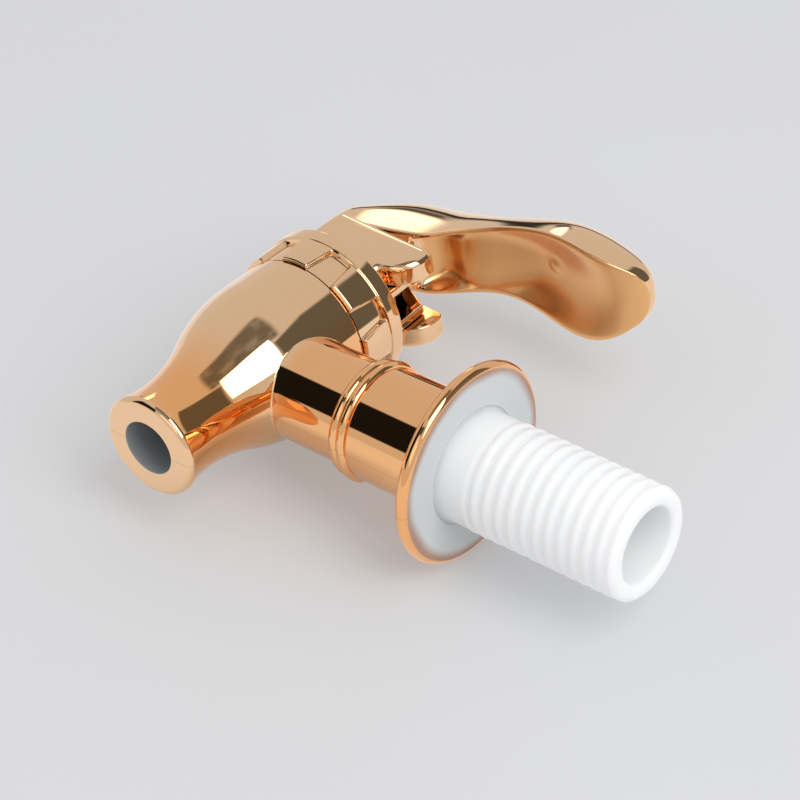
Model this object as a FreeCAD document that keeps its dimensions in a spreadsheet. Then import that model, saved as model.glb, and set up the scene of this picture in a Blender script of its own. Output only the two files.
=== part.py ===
"""Push-lever bottle tap: a plated moulded tap with a threaded shank.

The tap stands as it is fitted: +Z up, the spout pointing down, and the shank
running level along +Y into the container.  The origin is the centre of the
flange's seating face, on the shank's axis.  All sizes are in millimetres.
"""

import FreeCAD
import Part
import os
import re

import Sketcher

os.makedirs("parts", exist_ok=True)
doc = FreeCAD.newDocument("bottle_tap")

# Driving dimensions. Heights are measured from the shank's axis, and
# distances along the lever from the valve's upright axis.
SIZES = {
    "valve_reach": (37.6, "valve axis to the flange's seating face"),
    "outlet_drop": (22.3, "outlet face below the shank's axis"),
    "outlet_bore": (4.0, "radius of the outlet"),
    "lip_radius": (7.55, "outer radius of the spout's lip"),
    "lip_round": (0.9, "rounding of the lip's edge"),
    "spout_waist_radius": (6.95, "spout at its slimmest"),
    "spout_waist_drop": (17.0, "slimmest section below the shank's axis"),
    "spout_sweep": (23.0, "radius of the hollow curve above the waist"),
    "belly_radius": (11.2, "valve chamber's widest radius"),
    "belly_height": (2.5, "height of the widest section"),
    "shoulder_radius": (11.05, "chamber's radius under the bonnet"),
    "shoulder_height": (9.73, "height of the shoulder under the bonnet"),
    "neck_radius": (9.6, "neck that the bonnet screws over"),
    "neck_height": (13.1, "top of the neck"),
    "chamber_radius": (7.8, "inside of the valve chamber"),
    "chamber_corner": (1.5, "rounding of the chamber's floor"),
    "seat_drop": (8.0, "top of the valve seat below the shank's axis"),
    "seat_width": (1.0, "width of the seat's rim"),
    "seat_stand": (0.6, "height of the seat above the chamber's floor"),
    "tube_radius": (7.4, "inlet tube beside the chamber"),
    "tube_outer_radius": (8.05, "inlet tube beyond the bead"),
    "tube_flare_radius": (8.45, "inlet tube where it meets the flange"),
    "inlet_bore": (5.4, "radius of the bore through the shank"),
    "tube_bore": (5.0, "radius of the bore from the flange to the chamber"),
    "inlet_chamfer": (0.7, "chamfer at the mouth of the inlet"),
    "bead_distance": (18.4, "valve axis to the start of the bead"),
    "bead_width": (2.0, "width of each of the bead's two rounds"),
    "bead_rise": (0.8, "height of each round"),
    "bead_valley": (7.85, "radius between the two rounds"),
    "flange_radius": (14.4, "radius of the flange"),
    "flange_thickness": (2.0, "thickness of the flange"),
    "shank_radius": (8.0, "thread's outer radius, 16 mm by 2 mm pitch"),
    "shank_length": (28.6, "flange's seating face to the shank's end"),
    "shank_chamfer": (0.6, "chamfer at the shank's end"),
    "bonnet_turn": (7.3, "lever's direction from the shank, in degrees"),
    "bonnet_gap": (0.12, "line between bonnet and shoulder"),
    "bonnet_ring_radius": (12.2, "smooth ring at the bonnet's top"),
    "bonnet_ring_base": (14.35, "underside of the ring"),
    "bonnet_top": (16.83, "flat top of the bonnet"),
    "bonnet_edge": (0.4, "rounding of the ring's edges"),
    "bonnet_roof": (14.4, "inside face that clamps the seat cup"),
    "grip_radius": (11.7, "outer face of the grip pads"),
    "grip_edge": (0.4, "rounding of the pads' lower edge"),
    "grip_count": (8, "number of windows between the pads"),
    "window_floor": (11.0, "flat bottom of a window, from the axis"),
    "window_foot": (4.4, "width of a window at the bonnet's lower edge"),
    "window_head": (3.2, "width of a window under the ring"),
    "window_sill": (0.2, "step between a window and the ring"),
    "window_turn": (26.1, "first window turned from the lever, in degrees"),
    "thread_gap": (0.1, "clearance between neck and bonnet"),
    "guide_radius": (3.9, "outer radius of the stem's guide"),
    "guide_base": (11.2, "lower end of the stem's guide"),
    "ear_gap": (7.36, "clear width between the ears"),
    "ear_thickness": (3.3, "thickness of each ear"),
    "ear_rear": (8.1, "rear edge of the ears behind the valve axis"),
    "ear_rear_top": (29.2, "height of the ears at the rear"),
    "ear_rear_round": (1.8, "rounding of the rear upper corner"),
    "ear_front": (11.6, "front edge of the ears"),
    "ear_front_top": (26.1, "height of the ears at the front"),
    "ear_front_round": (1.0, "rounding of the front upper corner"),
    "ear_overhang": (4.9, "reach of the ears over their foot"),
    "ear_foot_round": (1.2, "rounding where the overhang meets the foot"),
    "ear_chin": (19.7, "underside of the ears' overhang"),
    "ear_edge": (0.8, "rounding of the ears' outer edges"),
    "stem_radius": (3.0, "radius of the valve stem"),
    "stem_fit": (0.05, "running clearance round the stem"),
    "stem_shoulder": (13.9, "top of the stem's round length"),
    "stem_flat": (4.0, "thickness of the stem's eye"),
    "stem_button_radius": (3.9, "button held in the seat cup"),
    "stem_button_height": (1.6, "height of the button"),
    "button_cover": (1.3, "rubber over the button"),
    "pin_height": (24.4, "height of the lever's pin"),
    "pin_radius": (1.2, "radius of the lever's pin"),
    "pin_fit": (0.05, "running clearance round the pin"),
    "pin_end_gap": (0.25, "clearance from the pin's end to an ear"),
    "cam_reach": (5.5, "stem's lift for each radian of tilt"),
    "cam_gap": (0.15, "clearance under the lever's foot"),
    "cam_tilt": (25.0, "lever's full tilt, in degrees"),
    "hub_gap": (0.18, "clearance between hub and ear"),
    "hub_slot_gap": (0.12, "clearance beside the stem's eye"),
    "hub_slot_play": (0.3, "clearance before and behind the eye"),
    "hub_front": (8.9, "front face of the hub"),
    "hub_front_height": (25.0, "upper end of the hub's front face"),
    "hub_rear": (8.0, "rear face of the hub at its upper end"),
    "hub_rear_height": (29.8, "upper end of the hub's rear face"),
    "hub_top": (33.0, "where the hub ends inside the lever"),
    "hub_brow": (3.2, "front of the hub where the hollow starts"),
    "hub_brow_height": (28.6, "height of that edge"),
    "lever_wall": (1.05, "wall of the lever's hollow"),
    "lever_crown": (0.69, "height of the lever's crown as a share of its half width"),
    "hollow_crown": (0.45, "the same for the hollow below it"),
    "crown_corner": (0.62, "crown's corner radius as a share of its height"),
    "cup_wall": (1.0, "wall of the seat cup's bell"),
    "cup_rim_radius": (9.2, "seat cup's clamped rim"),
    "cup_foot_radius": (6.2, "seat cup's sealing face"),
    "cup_foot_height": (4.4, "thickness of the seat cup's foot"),
    "cup_bell_radius": (6.9, "outside of the bell under the rim"),
    "cup_bell_height": (7.0, "height where the bell starts to taper"),
    "cup_gap": (0.05, "clearance at the seat cup's faces"),
    "spring_radius": (4.6, "mean radius of the return spring"),
    "spring_wire": (0.6, "diameter of the spring's wire"),
    "spring_turns": (5.0, "turns of the return spring"),
    "spring_sides": (8, "flats that stand in for the wire's round"),
}

# The lever's sections from its rear end to its nose: distance forward of the
# valve axis, half width, height of the lower edge and height of the crest.
LEVER_SECTIONS = {
    "heel": (-11.3, 4.25, 31.0, 34.3),
    "shoulder": (-8.6, 4.7, 30.0, 37.5),
    "root": (-2.0, 4.85, 29.9, 41.8),
    "neck": (5.5, 5.05, 31.1, 42.3),
    "waist": (14.0, 5.6, 36.15, 42.4),
    "spread": (20.0, 6.85, 36.4, 43.0),
    "paddle": (27.0, 7.9, 35.1, 43.15),
    "brow": (32.5, 6.75, 34.6, 42.6),
    "snout": (35.2, 5.75, 35.25, 42.0),
    "nose": (38.1, 3.7, 37.3, 40.4),
}
SECTION_VALUES = ("forward", "half", "rim", "crest")

# Height of the hollow's ceiling under the lever, from the hub to the snout.
LEVER_CEILINGS = {
    "neck": 34.8,
    "waist": 36.9,
    "spread": 38.6,
    "paddle": 39.0,
    "brow": 37.3,
    "snout": 35.9,
}

sheet = doc.addObject("Spreadsheet::Sheet", "sizes")
names = set(SIZES)
names.update(f"lever_{name}_{label}" for name in LEVER_SECTIONS for label in SECTION_VALUES)
names.update(f"lever_{name}_ceiling" for name in LEVER_CEILINGS)

# Distances worked out from the driving dimensions.
SHANK_END = "(valve_reach + shank_length)"
SPOUT_RISE = "(belly_height + spout_waist_drop)"
SPOUT_SWELL = "(belly_radius - spout_waist_radius)"
SPOUT_CURVES = f"(({SPOUT_SWELL}^2 + {SPOUT_RISE}^2) / (2 * {SPOUT_SWELL}))"
LIP_RISE = "(outlet_drop - lip_round - spout_waist_drop)"
LIP_SWELL = "(lip_radius - spout_waist_radius)"
CHAMBER_FLOOR = "(-seat_drop - seat_stand)"
SKIRT_BASE = "(shoulder_height + bonnet_gap)"
SKIRT_BORE = "(neck_radius + thread_gap)"
STEM_HOLE = "(stem_radius + stem_fit)"
PIN_HOLE = "(pin_radius + pin_fit)"
HUB_WIDTH = "(ear_gap - 2 * hub_gap)"
FOOT_DROP = "(pin_height - bonnet_top - cam_gap)"
FULL_DROP = f"({FOOT_DROP} + cam_reach * cam_tilt * pi / 180)"
CAM_END = f"(cam_reach * cos(cam_tilt) + {FULL_DROP} * sin(cam_tilt))"
CAM_RISE = f"({FOOT_DROP} + cam_reach * sin(cam_tilt) - {FULL_DROP} * cos(cam_tilt))"
CAM_ROUND = f"((({CAM_END} - cam_reach)^2 + {CAM_RISE}^2) / (2 * {CAM_RISE}))"
CUP_BASE = "(-seat_drop + cup_gap)"
CUP_FLOOR = f"({CUP_BASE} + cup_foot_height)"
BUTTON_TOP = f"({CUP_FLOOR} - button_cover)"
BUTTON_BASE = f"({BUTTON_TOP} - stem_button_height)"

# How far a cut runs past a face, and how near two places count as one.
OVERRUN = 1.0
NEAR = 0.001
LEFT = 1
RIGHT = -1


def fill_sheet():
    """Write every driving dimension into the sheet under its own name."""
    entries = dict(SIZES)
    for name, values in LEVER_SECTIONS.items():
        for label, value in zip(SECTION_VALUES, values):
            entries[f"lever_{name}_{label}"] = (value, f"lever's {name} section, {label}")
    for name, value in LEVER_CEILINGS.items():
        entries[f"lever_{name}_ceiling"] = (value, f"hollow under the lever's {name}")
    for row, (alias, (value, meaning)) in enumerate(entries.items(), start=1):
        sheet.set(f"A{row}", alias)
        sheet.set(f"B{row}", str(value))
        sheet.set(f"C{row}", meaning)
        sheet.setAlias(f"B{row}", alias)
    doc.recompute()


def bound(expression):
    """Return the expression with each size addressed through the sheet."""
    return re.sub(
        r"[a-z][a-z_]*",
        lambda word: f"sizes.{word.group()}" if word.group() in names else word.group(),
        str(expression),
    )


def size(expression):
    """Return the number that an expression of sizes stands for."""
    value = sheet.evalExpression(bound(expression))
    return float(getattr(value, "Value", value))


def new_body(label, turned=False):
    """Add a body standing on the valve axis, turned to the lever if asked."""
    body = doc.addObject("PartDesign::Body", label)
    body.Label = label
    turn = FreeCAD.Rotation(FreeCAD.Vector(0, 0, 1), 0)
    body.Placement = FreeCAD.Placement(FreeCAD.Vector(0, 0, 0), turn)
    body.setExpression("Placement.Base.y", bound("-valve_reach"))
    if turned:
        body.setExpression("Placement.Rotation.Angle", bound("-bonnet_turn * 1 deg"))
    doc.recompute()
    return body


def origin_part(body, role):
    """Return one of the body's own origin planes or axes."""
    return next(part for part in body.Origin.OriginFeatures if part.Role == role)


def new_sketch(body, name, plane, offset=None):
    """Add a sketch on an origin plane, or beside it by an expression."""
    sketch = body.newObject("Sketcher::SketchObject", name)
    sketch.AttachmentSupport = [(origin_part(body, plane), "")]
    sketch.MapMode = "FlatFace"
    if offset is not None:
        sketch.setExpression("AttachmentOffset.Base.z", bound(offset))
    return sketch


def arc_between(start, end, radius, side):
    """Return the shorter arc from start to end, its centre on the given side."""
    chord = end - start
    middle = (start + end) * 0.5
    depth = max(radius**2 - (chord.Length / 2) ** 2, 0.0) ** 0.5
    across = FreeCAD.Vector(-chord.y, chord.x, 0)
    across.normalize()
    centre = middle + across * (depth * side)
    circle = Part.Circle(centre, FreeCAD.Vector(0, 0, 1), radius)
    first, last = (start, end) if side == LEFT else (end, start)
    return Part.ArcOfCircle(circle, circle.parameter(first), circle.parameter(last))


def outline(sketch, corners):
    """Draw a closed outline.

    A corner is (across, up), as expressions, and a straight edge follows it;
    with (across, up, radius, side) an arc follows it.
    """
    places = [FreeCAD.Vector(size(corner[0]), size(corner[1]), 0) for corner in corners]
    starts = []
    for number, corner in enumerate(corners):
        start, end = places[number], places[(number + 1) % len(places)]
        if len(corner) == 2:
            edge = sketch.addGeometry(Part.LineSegment(start, end), False)
            starts.append((edge, 1, 2))
            continue
        edge = sketch.addGeometry(arc_between(start, end, size(corner[2]), corner[3]), False)
        starts.append((edge, 1, 2) if corner[3] == LEFT else (edge, 2, 1))
    for number, (edge, _, finish) in enumerate(starts):
        following, begin, _ = starts[(number + 1) % len(starts)]
        sketch.addConstraint(Sketcher.Constraint("Coincident", edge, finish, following, begin))
    for number, corner in enumerate(corners):
        edge, begin, _ = starts[number]
        place = places[number]
        drive(sketch, Sketcher.Constraint("DistanceX", -1, 1, edge, begin, place.x), corner[0])
        drive(sketch, Sketcher.Constraint("DistanceY", -1, 1, edge, begin, place.y), corner[1])
        if len(corner) == 4:
            drive(sketch, Sketcher.Constraint("Radius", edge, size(corner[2])), corner[2])
    doc.recompute()
    return sketch


def circle_sketch(sketch, across, up, radius):
    """Draw one circle whose centre and radius follow the sheet."""
    centre = FreeCAD.Vector(size(across), size(up), 0)
    normal = FreeCAD.Vector(0, 0, 1)
    edge = sketch.addGeometry(Part.Circle(centre, normal, size(radius)), False)
    drive(sketch, Sketcher.Constraint("DistanceX", -1, 1, edge, 3, centre.x), across)
    drive(sketch, Sketcher.Constraint("DistanceY", -1, 1, edge, 3, centre.y), up)
    drive(sketch, Sketcher.Constraint("Radius", edge, size(radius)), radius)
    doc.recompute()
    return sketch


def drive(sketch, constraint, expression):
    """Add a constraint that takes its value from an expression of sizes."""
    number = sketch.addConstraint(constraint)
    sketch.setExpression(f"Constraints[{number}]", bound(expression))


def turned_solid(body, kind, name, sketch, axis):
    """Revolve or groove a sketch about its upright or level axis."""
    feature = body.newObject(f"PartDesign::{kind}", name)
    feature.Profile = sketch
    feature.ReferenceAxis = (sketch, [axis])
    feature.Angle = 360
    doc.recompute()
    return feature


def pad(body, name, sketch, length, both_sides=False):
    """Pad a sketch by a length given as an expression."""
    feature = body.newObject("PartDesign::Pad", name)
    feature.Profile = sketch
    feature.Midplane = both_sides
    feature.setExpression("Length", bound(length))
    doc.recompute()
    return feature


def pocket_both_ways(body, name, sketch, length):
    """Cut a sketch out of the body to both sides of its plane."""
    before = body.Shape.Volume
    feature = body.newObject("PartDesign::Pocket", name)
    feature.Profile = sketch
    feature.Midplane = True
    feature.setExpression("Length", bound(length))
    doc.recompute()
    if body.Shape.Volume >= before:
        raise RuntimeError(f"{name} cuts nothing")
    return feature


def tap_body():
    """Spout, valve chamber, inlet tube, flange and shank as one moulding."""
    body = new_body("tap_body")
    spout = outline(new_sketch(body, "spout_outline", "YZ_Plane"), [
        ("0", "-outlet_drop"),
        ("lip_radius - lip_round", "-outlet_drop", "lip_round", LEFT),
        ("lip_radius", "-outlet_drop + lip_round",
         f"({LIP_RISE}^2 + {LIP_SWELL}^2) / (2 * {LIP_SWELL})", RIGHT),
        ("spout_waist_radius", "-spout_waist_drop", "spout_sweep", RIGHT),
        (f"spout_waist_radius + {SPOUT_SWELL} * spout_sweep / {SPOUT_CURVES}",
         f"{SPOUT_RISE} * spout_sweep / {SPOUT_CURVES} - spout_waist_drop",
         f"{SPOUT_CURVES} - spout_sweep", LEFT),
        ("belly_radius", "belly_height"),
        ("shoulder_radius", "shoulder_height"),
        ("neck_radius", "shoulder_height"),
        ("neck_radius", "neck_height"),
        ("0", "neck_height"),
    ])
    turned_solid(body, "Revolution", "spout_and_chamber", spout, "V_Axis")
    rim = "flange_thickness / 2"
    inlet = outline(new_sketch(body, "inlet_outline", "YZ_Plane"), [
        ("0", "0"),
        (SHANK_END, "0"),
        (SHANK_END, "shank_radius - shank_chamfer"),
        (f"{SHANK_END} - shank_chamfer", "shank_radius"),
        ("valve_reach", "shank_radius"),
        ("valve_reach", f"flange_radius - {rim}", rim, LEFT),
        (f"valve_reach - {rim}", "flange_radius", rim, LEFT),
        ("valve_reach - flange_thickness", f"flange_radius - {rim}"),
        ("valve_reach - flange_thickness", "tube_flare_radius"),
        ("bead_distance + 2 * bead_width", "tube_outer_radius",
         bead_radius("tube_outer_radius"), LEFT),
        ("bead_distance + bead_width", "bead_valley", bead_radius("tube_radius"), LEFT),
        ("bead_distance", "tube_radius"),
        ("0", "tube_radius"),
    ])
    turned_solid(body, "Revolution", "inlet_and_shank", inlet, "H_Axis")
    chamber = outline(new_sketch(body, "chamber_outline", "YZ_Plane"), [
        ("0", f"-outlet_drop - {OVERRUN}"),
        ("outlet_bore", f"-outlet_drop - {OVERRUN}"),
        ("outlet_bore", "-seat_drop"),
        ("outlet_bore + seat_width", "-seat_drop"),
        ("outlet_bore + seat_width", CHAMBER_FLOOR),
        ("chamber_radius - chamber_corner", CHAMBER_FLOOR, "chamber_corner", LEFT),
        ("chamber_radius", f"{CHAMBER_FLOOR} + chamber_corner"),
        ("chamber_radius", f"neck_height + {OVERRUN}"),
        ("0", f"neck_height + {OVERRUN}"),
    ])
    turned_solid(body, "Groove", "chamber_and_outlet", chamber, "V_Axis")
    bore = outline(new_sketch(body, "inlet_bore_outline", "YZ_Plane"), [
        ("0", "0"),
        (f"{SHANK_END} + {OVERRUN}", "0"),
        (f"{SHANK_END} + {OVERRUN}", f"inlet_bore + inlet_chamfer + {OVERRUN}"),
        (f"{SHANK_END} - inlet_chamfer", "inlet_bore"),
        ("valve_reach", "inlet_bore"),
        ("valve_reach", "tube_bore"),
        ("0", "tube_bore"),
    ])
    turned_solid(body, "Groove", "inlet_way", bore, "H_Axis")
    return body


def bead_radius(far_side):
    """Return the radius of a bead's round that stands bead_rise above its chord."""
    return f"((bead_width^2 + ({far_side} - bead_valley)^2) / 4 + bead_rise^2) / (2 * bead_rise)"


def bonnet():
    """Screwed nut with grip pads, the stem's guide and the lever's two ears."""
    body = new_body("bonnet", turned=True)
    nut = outline(new_sketch(body, "nut_outline", "YZ_Plane"), [
        (STEM_HOLE, "guide_base"),
        ("guide_radius", "guide_base"),
        ("guide_radius", "bonnet_roof"),
        (SKIRT_BORE, "bonnet_roof"),
        (SKIRT_BORE, SKIRT_BASE),
        ("grip_radius - grip_edge", SKIRT_BASE, "grip_edge", LEFT),
        ("grip_radius", f"{SKIRT_BASE} + grip_edge"),
        ("grip_radius", "bonnet_ring_base"),
        ("bonnet_ring_radius - bonnet_edge", "bonnet_ring_base", "bonnet_edge", LEFT),
        ("bonnet_ring_radius", "bonnet_ring_base + bonnet_edge"),
        ("bonnet_ring_radius", "bonnet_top - bonnet_edge", "bonnet_edge", LEFT),
        ("bonnet_ring_radius - bonnet_edge", "bonnet_top"),
        (STEM_HOLE, "bonnet_top"),
    ])
    turned_solid(body, "Revolution", "nut", nut, "V_Axis")
    window = grip_window(body)
    windows = body.newObject("PartDesign::PolarPattern", "grip_windows")
    windows.Originals = [window]
    windows.Axis = (origin_part(body, "Z_Axis"), [""])
    windows.Angle = 360
    windows.setExpression("Occurrences", bound("grip_count"))
    body.Tip = windows
    doc.recompute()
    ear_foot = f"bonnet_top - {OVERRUN}"
    side = outline(new_sketch(body, "ear_outline", "YZ_Plane", "ear_gap / 2"), [
        ("-ear_rear", ear_foot),
        ("ear_front - ear_overhang", ear_foot),
        ("ear_front - ear_overhang", "ear_chin", "ear_overhang", LEFT),
        ("ear_front", "ear_chin + ear_overhang"),
        ("ear_front", "ear_front_top"),
        ("-ear_rear", "ear_rear_top"),
    ])
    ear = pad(body, "ear", side, "ear_thickness")
    ears = body.newObject("PartDesign::Mirrored", "ears")
    ears.Originals = [ear]
    ears.MirrorPlane = (origin_part(body, "YZ_Plane"), [""])
    body.Tip = ears
    doc.recompute()
    corners = {
        "rear": ("-ear_rear", "ear_rear_top"),
        "front": ("ear_front", "ear_front_top"),
        "foot": ("ear_front - ear_overhang", "ear_chin"),
    }
    rounded = ears
    for name, place in corners.items():
        edges = level_edges(rounded.Shape, *place)
        rounded = fillet(body, f"ear_{name}_corners", rounded, edges, f"ear_{name}_round")
    fillet(body, "ear_edges", rounded, outer_ear_edges(rounded.Shape), "ear_edge")
    return body


def fillet(body, name, base, edges, radius):
    """Round some edges of a feature."""
    feature = body.newObject("PartDesign::Fillet", name)
    feature.Base = (base, edges)
    feature.setExpression("Radius", bound(radius))
    doc.recompute()
    return feature


def level_edges(shape, forward, height):
    """Name the edges that run across the lever at a distance and a height."""
    corner = (size(forward), size(height))
    chosen = []
    for number, edge in enumerate(shape.Edges, start=1):
        middle = edge.BoundBox.Center
        if abs(middle.y - corner[0]) < NEAR and abs(middle.z - corner[1]) < NEAR:
            chosen.append(f"Edge{number}")
    return chosen


def grip_window(body):
    """Cut the first window, a shallow flat recess that narrows upwards."""
    depth = f"(grip_radius - window_floor + {OVERRUN})"
    reach = f"(window_floor + {depth} / 2)"
    sketch = new_sketch(body, "window_outline", "XZ_Plane")
    turn = FreeCAD.Rotation(FreeCAD.Vector(0, 1, 0), size("window_turn"))
    sketch.AttachmentOffset = FreeCAD.Placement(FreeCAD.Vector(0, 0, 0), turn)
    sketch.setExpression("AttachmentOffset.Rotation.Angle", bound("window_turn * 1 deg"))
    sketch.setExpression("AttachmentOffset.Base.x", bound(f"-{reach} * sin(window_turn)"))
    sketch.setExpression("AttachmentOffset.Base.z", bound(f"-{reach} * cos(window_turn)"))
    outline(sketch, [
        ("-window_foot / 2", f"{SKIRT_BASE} - window_sill"),
        ("window_foot / 2", f"{SKIRT_BASE} - window_sill"),
        ("window_head / 2", "bonnet_ring_base - window_sill"),
        ("-window_head / 2", "bonnet_ring_base - window_sill"),
    ])
    return pocket_both_ways(body, "grip_window", sketch, depth)


def outer_ear_edges(shape):
    """Name the edges round the ears' broad outer faces, above the nut."""
    face_at = size("ear_gap / 2 + ear_thickness")
    floor = size("bonnet_top")
    chosen = []
    for number, edge in enumerate(shape.Edges, start=1):
        box = edge.BoundBox
        on_face = abs(abs(box.XMin) - face_at) < NEAR and box.XLength < NEAR
        if on_face and box.ZMax > floor + NEAR:
            chosen.append(f"Edge{number}")
    return chosen


def arch(sketch, half, base, crest, fullness):
    """Draw a section with upright sides, a level base and a three-arc crown."""
    rise = f"({half} * {fullness})"
    corner = f"({rise} * crown_corner)"
    crown = f"(({half}^2 + {rise}^2 - 2 * {half} * {corner}) / (2 * ({rise} - {corner})))"
    share = f"({corner} / ({crown} - {corner}))"
    join_across = f"({half} - {corner}) * (1 + {share})"
    join_up = f"{crest} - {rise} + ({crown} - {rise}) * {share}"
    spring_line = f"{crest} - {rise}"
    return outline(sketch, [
        (f"-{half}", base),
        (half, base),
        (half, spring_line, corner, LEFT),
        (join_across, join_up, crown, LEFT),
        (f"-({join_across})", join_up, corner, LEFT),
        (f"-{half}", spring_line),
    ])


def lever():
    """Hollow lever: arched neck, spoon-shaped paddle and a hub with a cam foot."""
    body = new_body("lever", turned=True)
    sections = []
    for name in LEVER_SECTIONS:
        station = f"lever_{name}"
        sketch = new_sketch(body, f"{name}_section", "XZ_Plane", f"-{station}_forward")
        sections.append(arch(sketch, f"{station}_half", f"{station}_rim", f"{station}_crest", "lever_crown"))
    skin = body.newObject("PartDesign::AdditiveLoft", "lever_skin")
    skin.Profile = sections[0]
    skin.Sections = sections[1:]
    doc.recompute()
    hollows = []
    for name in LEVER_CEILINGS:
        station = f"lever_{name}"
        forward = "hub_brow" if name == "neck" else f"{station}_forward"
        sketch = new_sketch(body, f"{name}_hollow", "XZ_Plane", f"-({forward})")
        half = f"({station}_half - lever_wall)"
        below = f"hub_brow_height - {OVERRUN}"
        hollows.append(arch(sketch, half, below, f"{station}_ceiling", "hollow_crown"))
    before = body.Shape.Volume
    hollow = body.newObject("PartDesign::SubtractiveLoft", "lever_hollow")
    hollow.Profile = hollows[0]
    hollow.Sections = hollows[1:]
    doc.recompute()
    if body.Shape.Volume >= before:
        raise RuntimeError("the lever's hollow cuts nothing")
    foot = "bonnet_top + cam_gap"
    side = outline(new_sketch(body, "hub_outline", "YZ_Plane"), [
        ("-cam_reach", foot),
        ("cam_reach", foot, CAM_ROUND, LEFT),
        (CAM_END, f"{foot} + {CAM_RISE}"),
        ("hub_front", "hub_front_height"),
        ("hub_brow", "hub_brow_height"),
        ("hub_brow", "hub_top"),
        ("-hub_rear", "hub_top"),
        ("-hub_rear", "hub_rear_height"),
        (f"-{CAM_END}", f"{foot} + {CAM_RISE}", CAM_ROUND, LEFT),
    ])
    pad(body, "hub", side, HUB_WIDTH, both_sides=True)
    slot_half = "(stem_radius / cos(cam_tilt) + hub_slot_play)"
    slot_foot = f"({slot_half} + ({FOOT_DROP} + {OVERRUN}) * tan(cam_tilt))"
    slot_top = "pin_height + stem_radius + hub_slot_play"
    slot = outline(new_sketch(body, "slot_outline", "YZ_Plane"), [
        (f"-{slot_foot}", f"{foot} - {OVERRUN}"),
        (slot_foot, f"{foot} - {OVERRUN}"),
        (slot_half, "pin_height"),
        (slot_half, slot_top),
        (f"-{slot_half}", slot_top),
        (f"-{slot_half}", "pin_height"),
    ])
    pocket_both_ways(body, "stem_slot", slot, "stem_flat + 2 * hub_slot_gap")
    hole = circle_sketch(new_sketch(body, "pin_hole_outline", "YZ_Plane"), "0", "pin_height", PIN_HOLE)
    pocket_both_ways(body, "pin_hole", hole, "ear_gap")
    return body


def valve_stem():
    """Round rod with a button below and a flat eye for the lever's pin above."""
    body = new_body("valve_stem", turned=True)
    rod = outline(new_sketch(body, "rod_outline", "YZ_Plane"), [
        ("0", BUTTON_BASE),
        ("stem_button_radius", BUTTON_BASE),
        ("stem_button_radius", BUTTON_TOP),
        ("stem_radius", BUTTON_TOP),
        ("stem_radius", "pin_height", "stem_radius", LEFT),
        ("0", "pin_height + stem_radius"),
    ])
    turned_solid(body, "Revolution", "rod", rod, "V_Axis")
    for label, hand in (("near", ""), ("far", "-")):
        flat = outline(new_sketch(body, f"{label}_flat_outline", "XZ_Plane"), [
            (f"{hand}stem_flat / 2", "stem_shoulder"),
            (f"{hand}(stem_radius + {OVERRUN})", "stem_shoulder"),
            (f"{hand}(stem_radius + {OVERRUN})", f"pin_height + stem_radius + {OVERRUN}"),
            (f"{hand}stem_flat / 2", f"pin_height + stem_radius + {OVERRUN}"),
        ])
        pocket_both_ways(body, f"{label}_flat", flat, f"2 * (stem_radius + {OVERRUN})")
    hole = circle_sketch(new_sketch(body, "eye_outline", "YZ_Plane"), "0", "pin_height", PIN_HOLE)
    pocket_both_ways(body, "eye", hole, f"2 * (stem_radius + {OVERRUN})")
    return body


def lever_pin():
    """Cross pin that joins the lever to the stem, kept in by the ears."""
    body = new_body("lever_pin", turned=True)
    section = circle_sketch(new_sketch(body, "pin_outline", "YZ_Plane"), "0", "pin_height", "pin_radius")
    pad(body, "pin", section, "ear_gap - 2 * pin_end_gap", both_sides=True)
    return body


def seat_cup():
    """Soft bell that seals the outlet and keeps the water from the spring."""
    body = new_body("seat_cup")
    inner_foot = "cup_foot_radius - cup_wall"
    inner_bell = "cup_bell_radius - cup_wall"
    bell = outline(new_sketch(body, "bell_outline", "YZ_Plane"), [
        ("0", CUP_BASE),
        ("cup_foot_radius", CUP_BASE),
        ("cup_foot_radius", CUP_FLOOR),
        ("cup_bell_radius", "cup_bell_height"),
        ("cup_bell_radius", "neck_height + cup_gap"),
        ("cup_rim_radius", "neck_height + cup_gap"),
        ("cup_rim_radius", "bonnet_roof - cup_gap"),
        (inner_bell, "bonnet_roof - cup_gap"),
        (inner_bell, "cup_bell_height"),
        (inner_foot, CUP_FLOOR),
        (STEM_HOLE, CUP_FLOOR),
        (STEM_HOLE, f"{BUTTON_TOP} + cup_gap"),
        ("stem_button_radius + cup_gap", f"{BUTTON_TOP} + cup_gap"),
        ("stem_button_radius + cup_gap", f"{BUTTON_BASE} - cup_gap"),
        ("0", f"{BUTTON_BASE} - cup_gap"),
    ])
    turned_solid(body, "Revolution", "bell", bell, "V_Axis")
    return body


def return_spring():
    """Coiled spring between the seat cup's foot and the bonnet's roof."""
    low = f"({CUP_FLOOR} + cup_gap + spring_wire / 2)"
    high = "(bonnet_roof - cup_gap - spring_wire / 2)"
    coil = doc.addObject("Part::Helix", "spring_coil")
    coil.LocalCoord = "Right-handed"
    coil.Style = "New style"
    coil.setExpression("Height", bound(f"{high} - {low}"))
    coil.setExpression("Pitch", bound(f"({high} - {low}) / spring_turns"))
    coil.setExpression("Radius", bound("spring_radius"))
    section = doc.addObject("Part::RegularPolygon", "wire_section")
    section.Placement.Rotation = FreeCAD.Rotation(FreeCAD.Vector(1, 0, 0), 90)
    section.setExpression("Polygon", bound("spring_sides"))
    section.setExpression("Circumradius", bound("spring_wire / 2"))
    section.setExpression("Placement.Base.x", bound("spring_radius"))
    doc.recompute()
    spring = doc.addObject("Part::Sweep", "return_spring")
    spring.Sections = [section]
    spring.Spine = (coil, ["Edge1"])
    spring.Solid = True
    spring.Frenet = True
    spring.Label = "return_spring"
    spring.setExpression("Placement.Base.y", bound("-valve_reach"))
    spring.setExpression("Placement.Base.z", bound(low))
    doc.recompute()
    return spring


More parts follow.
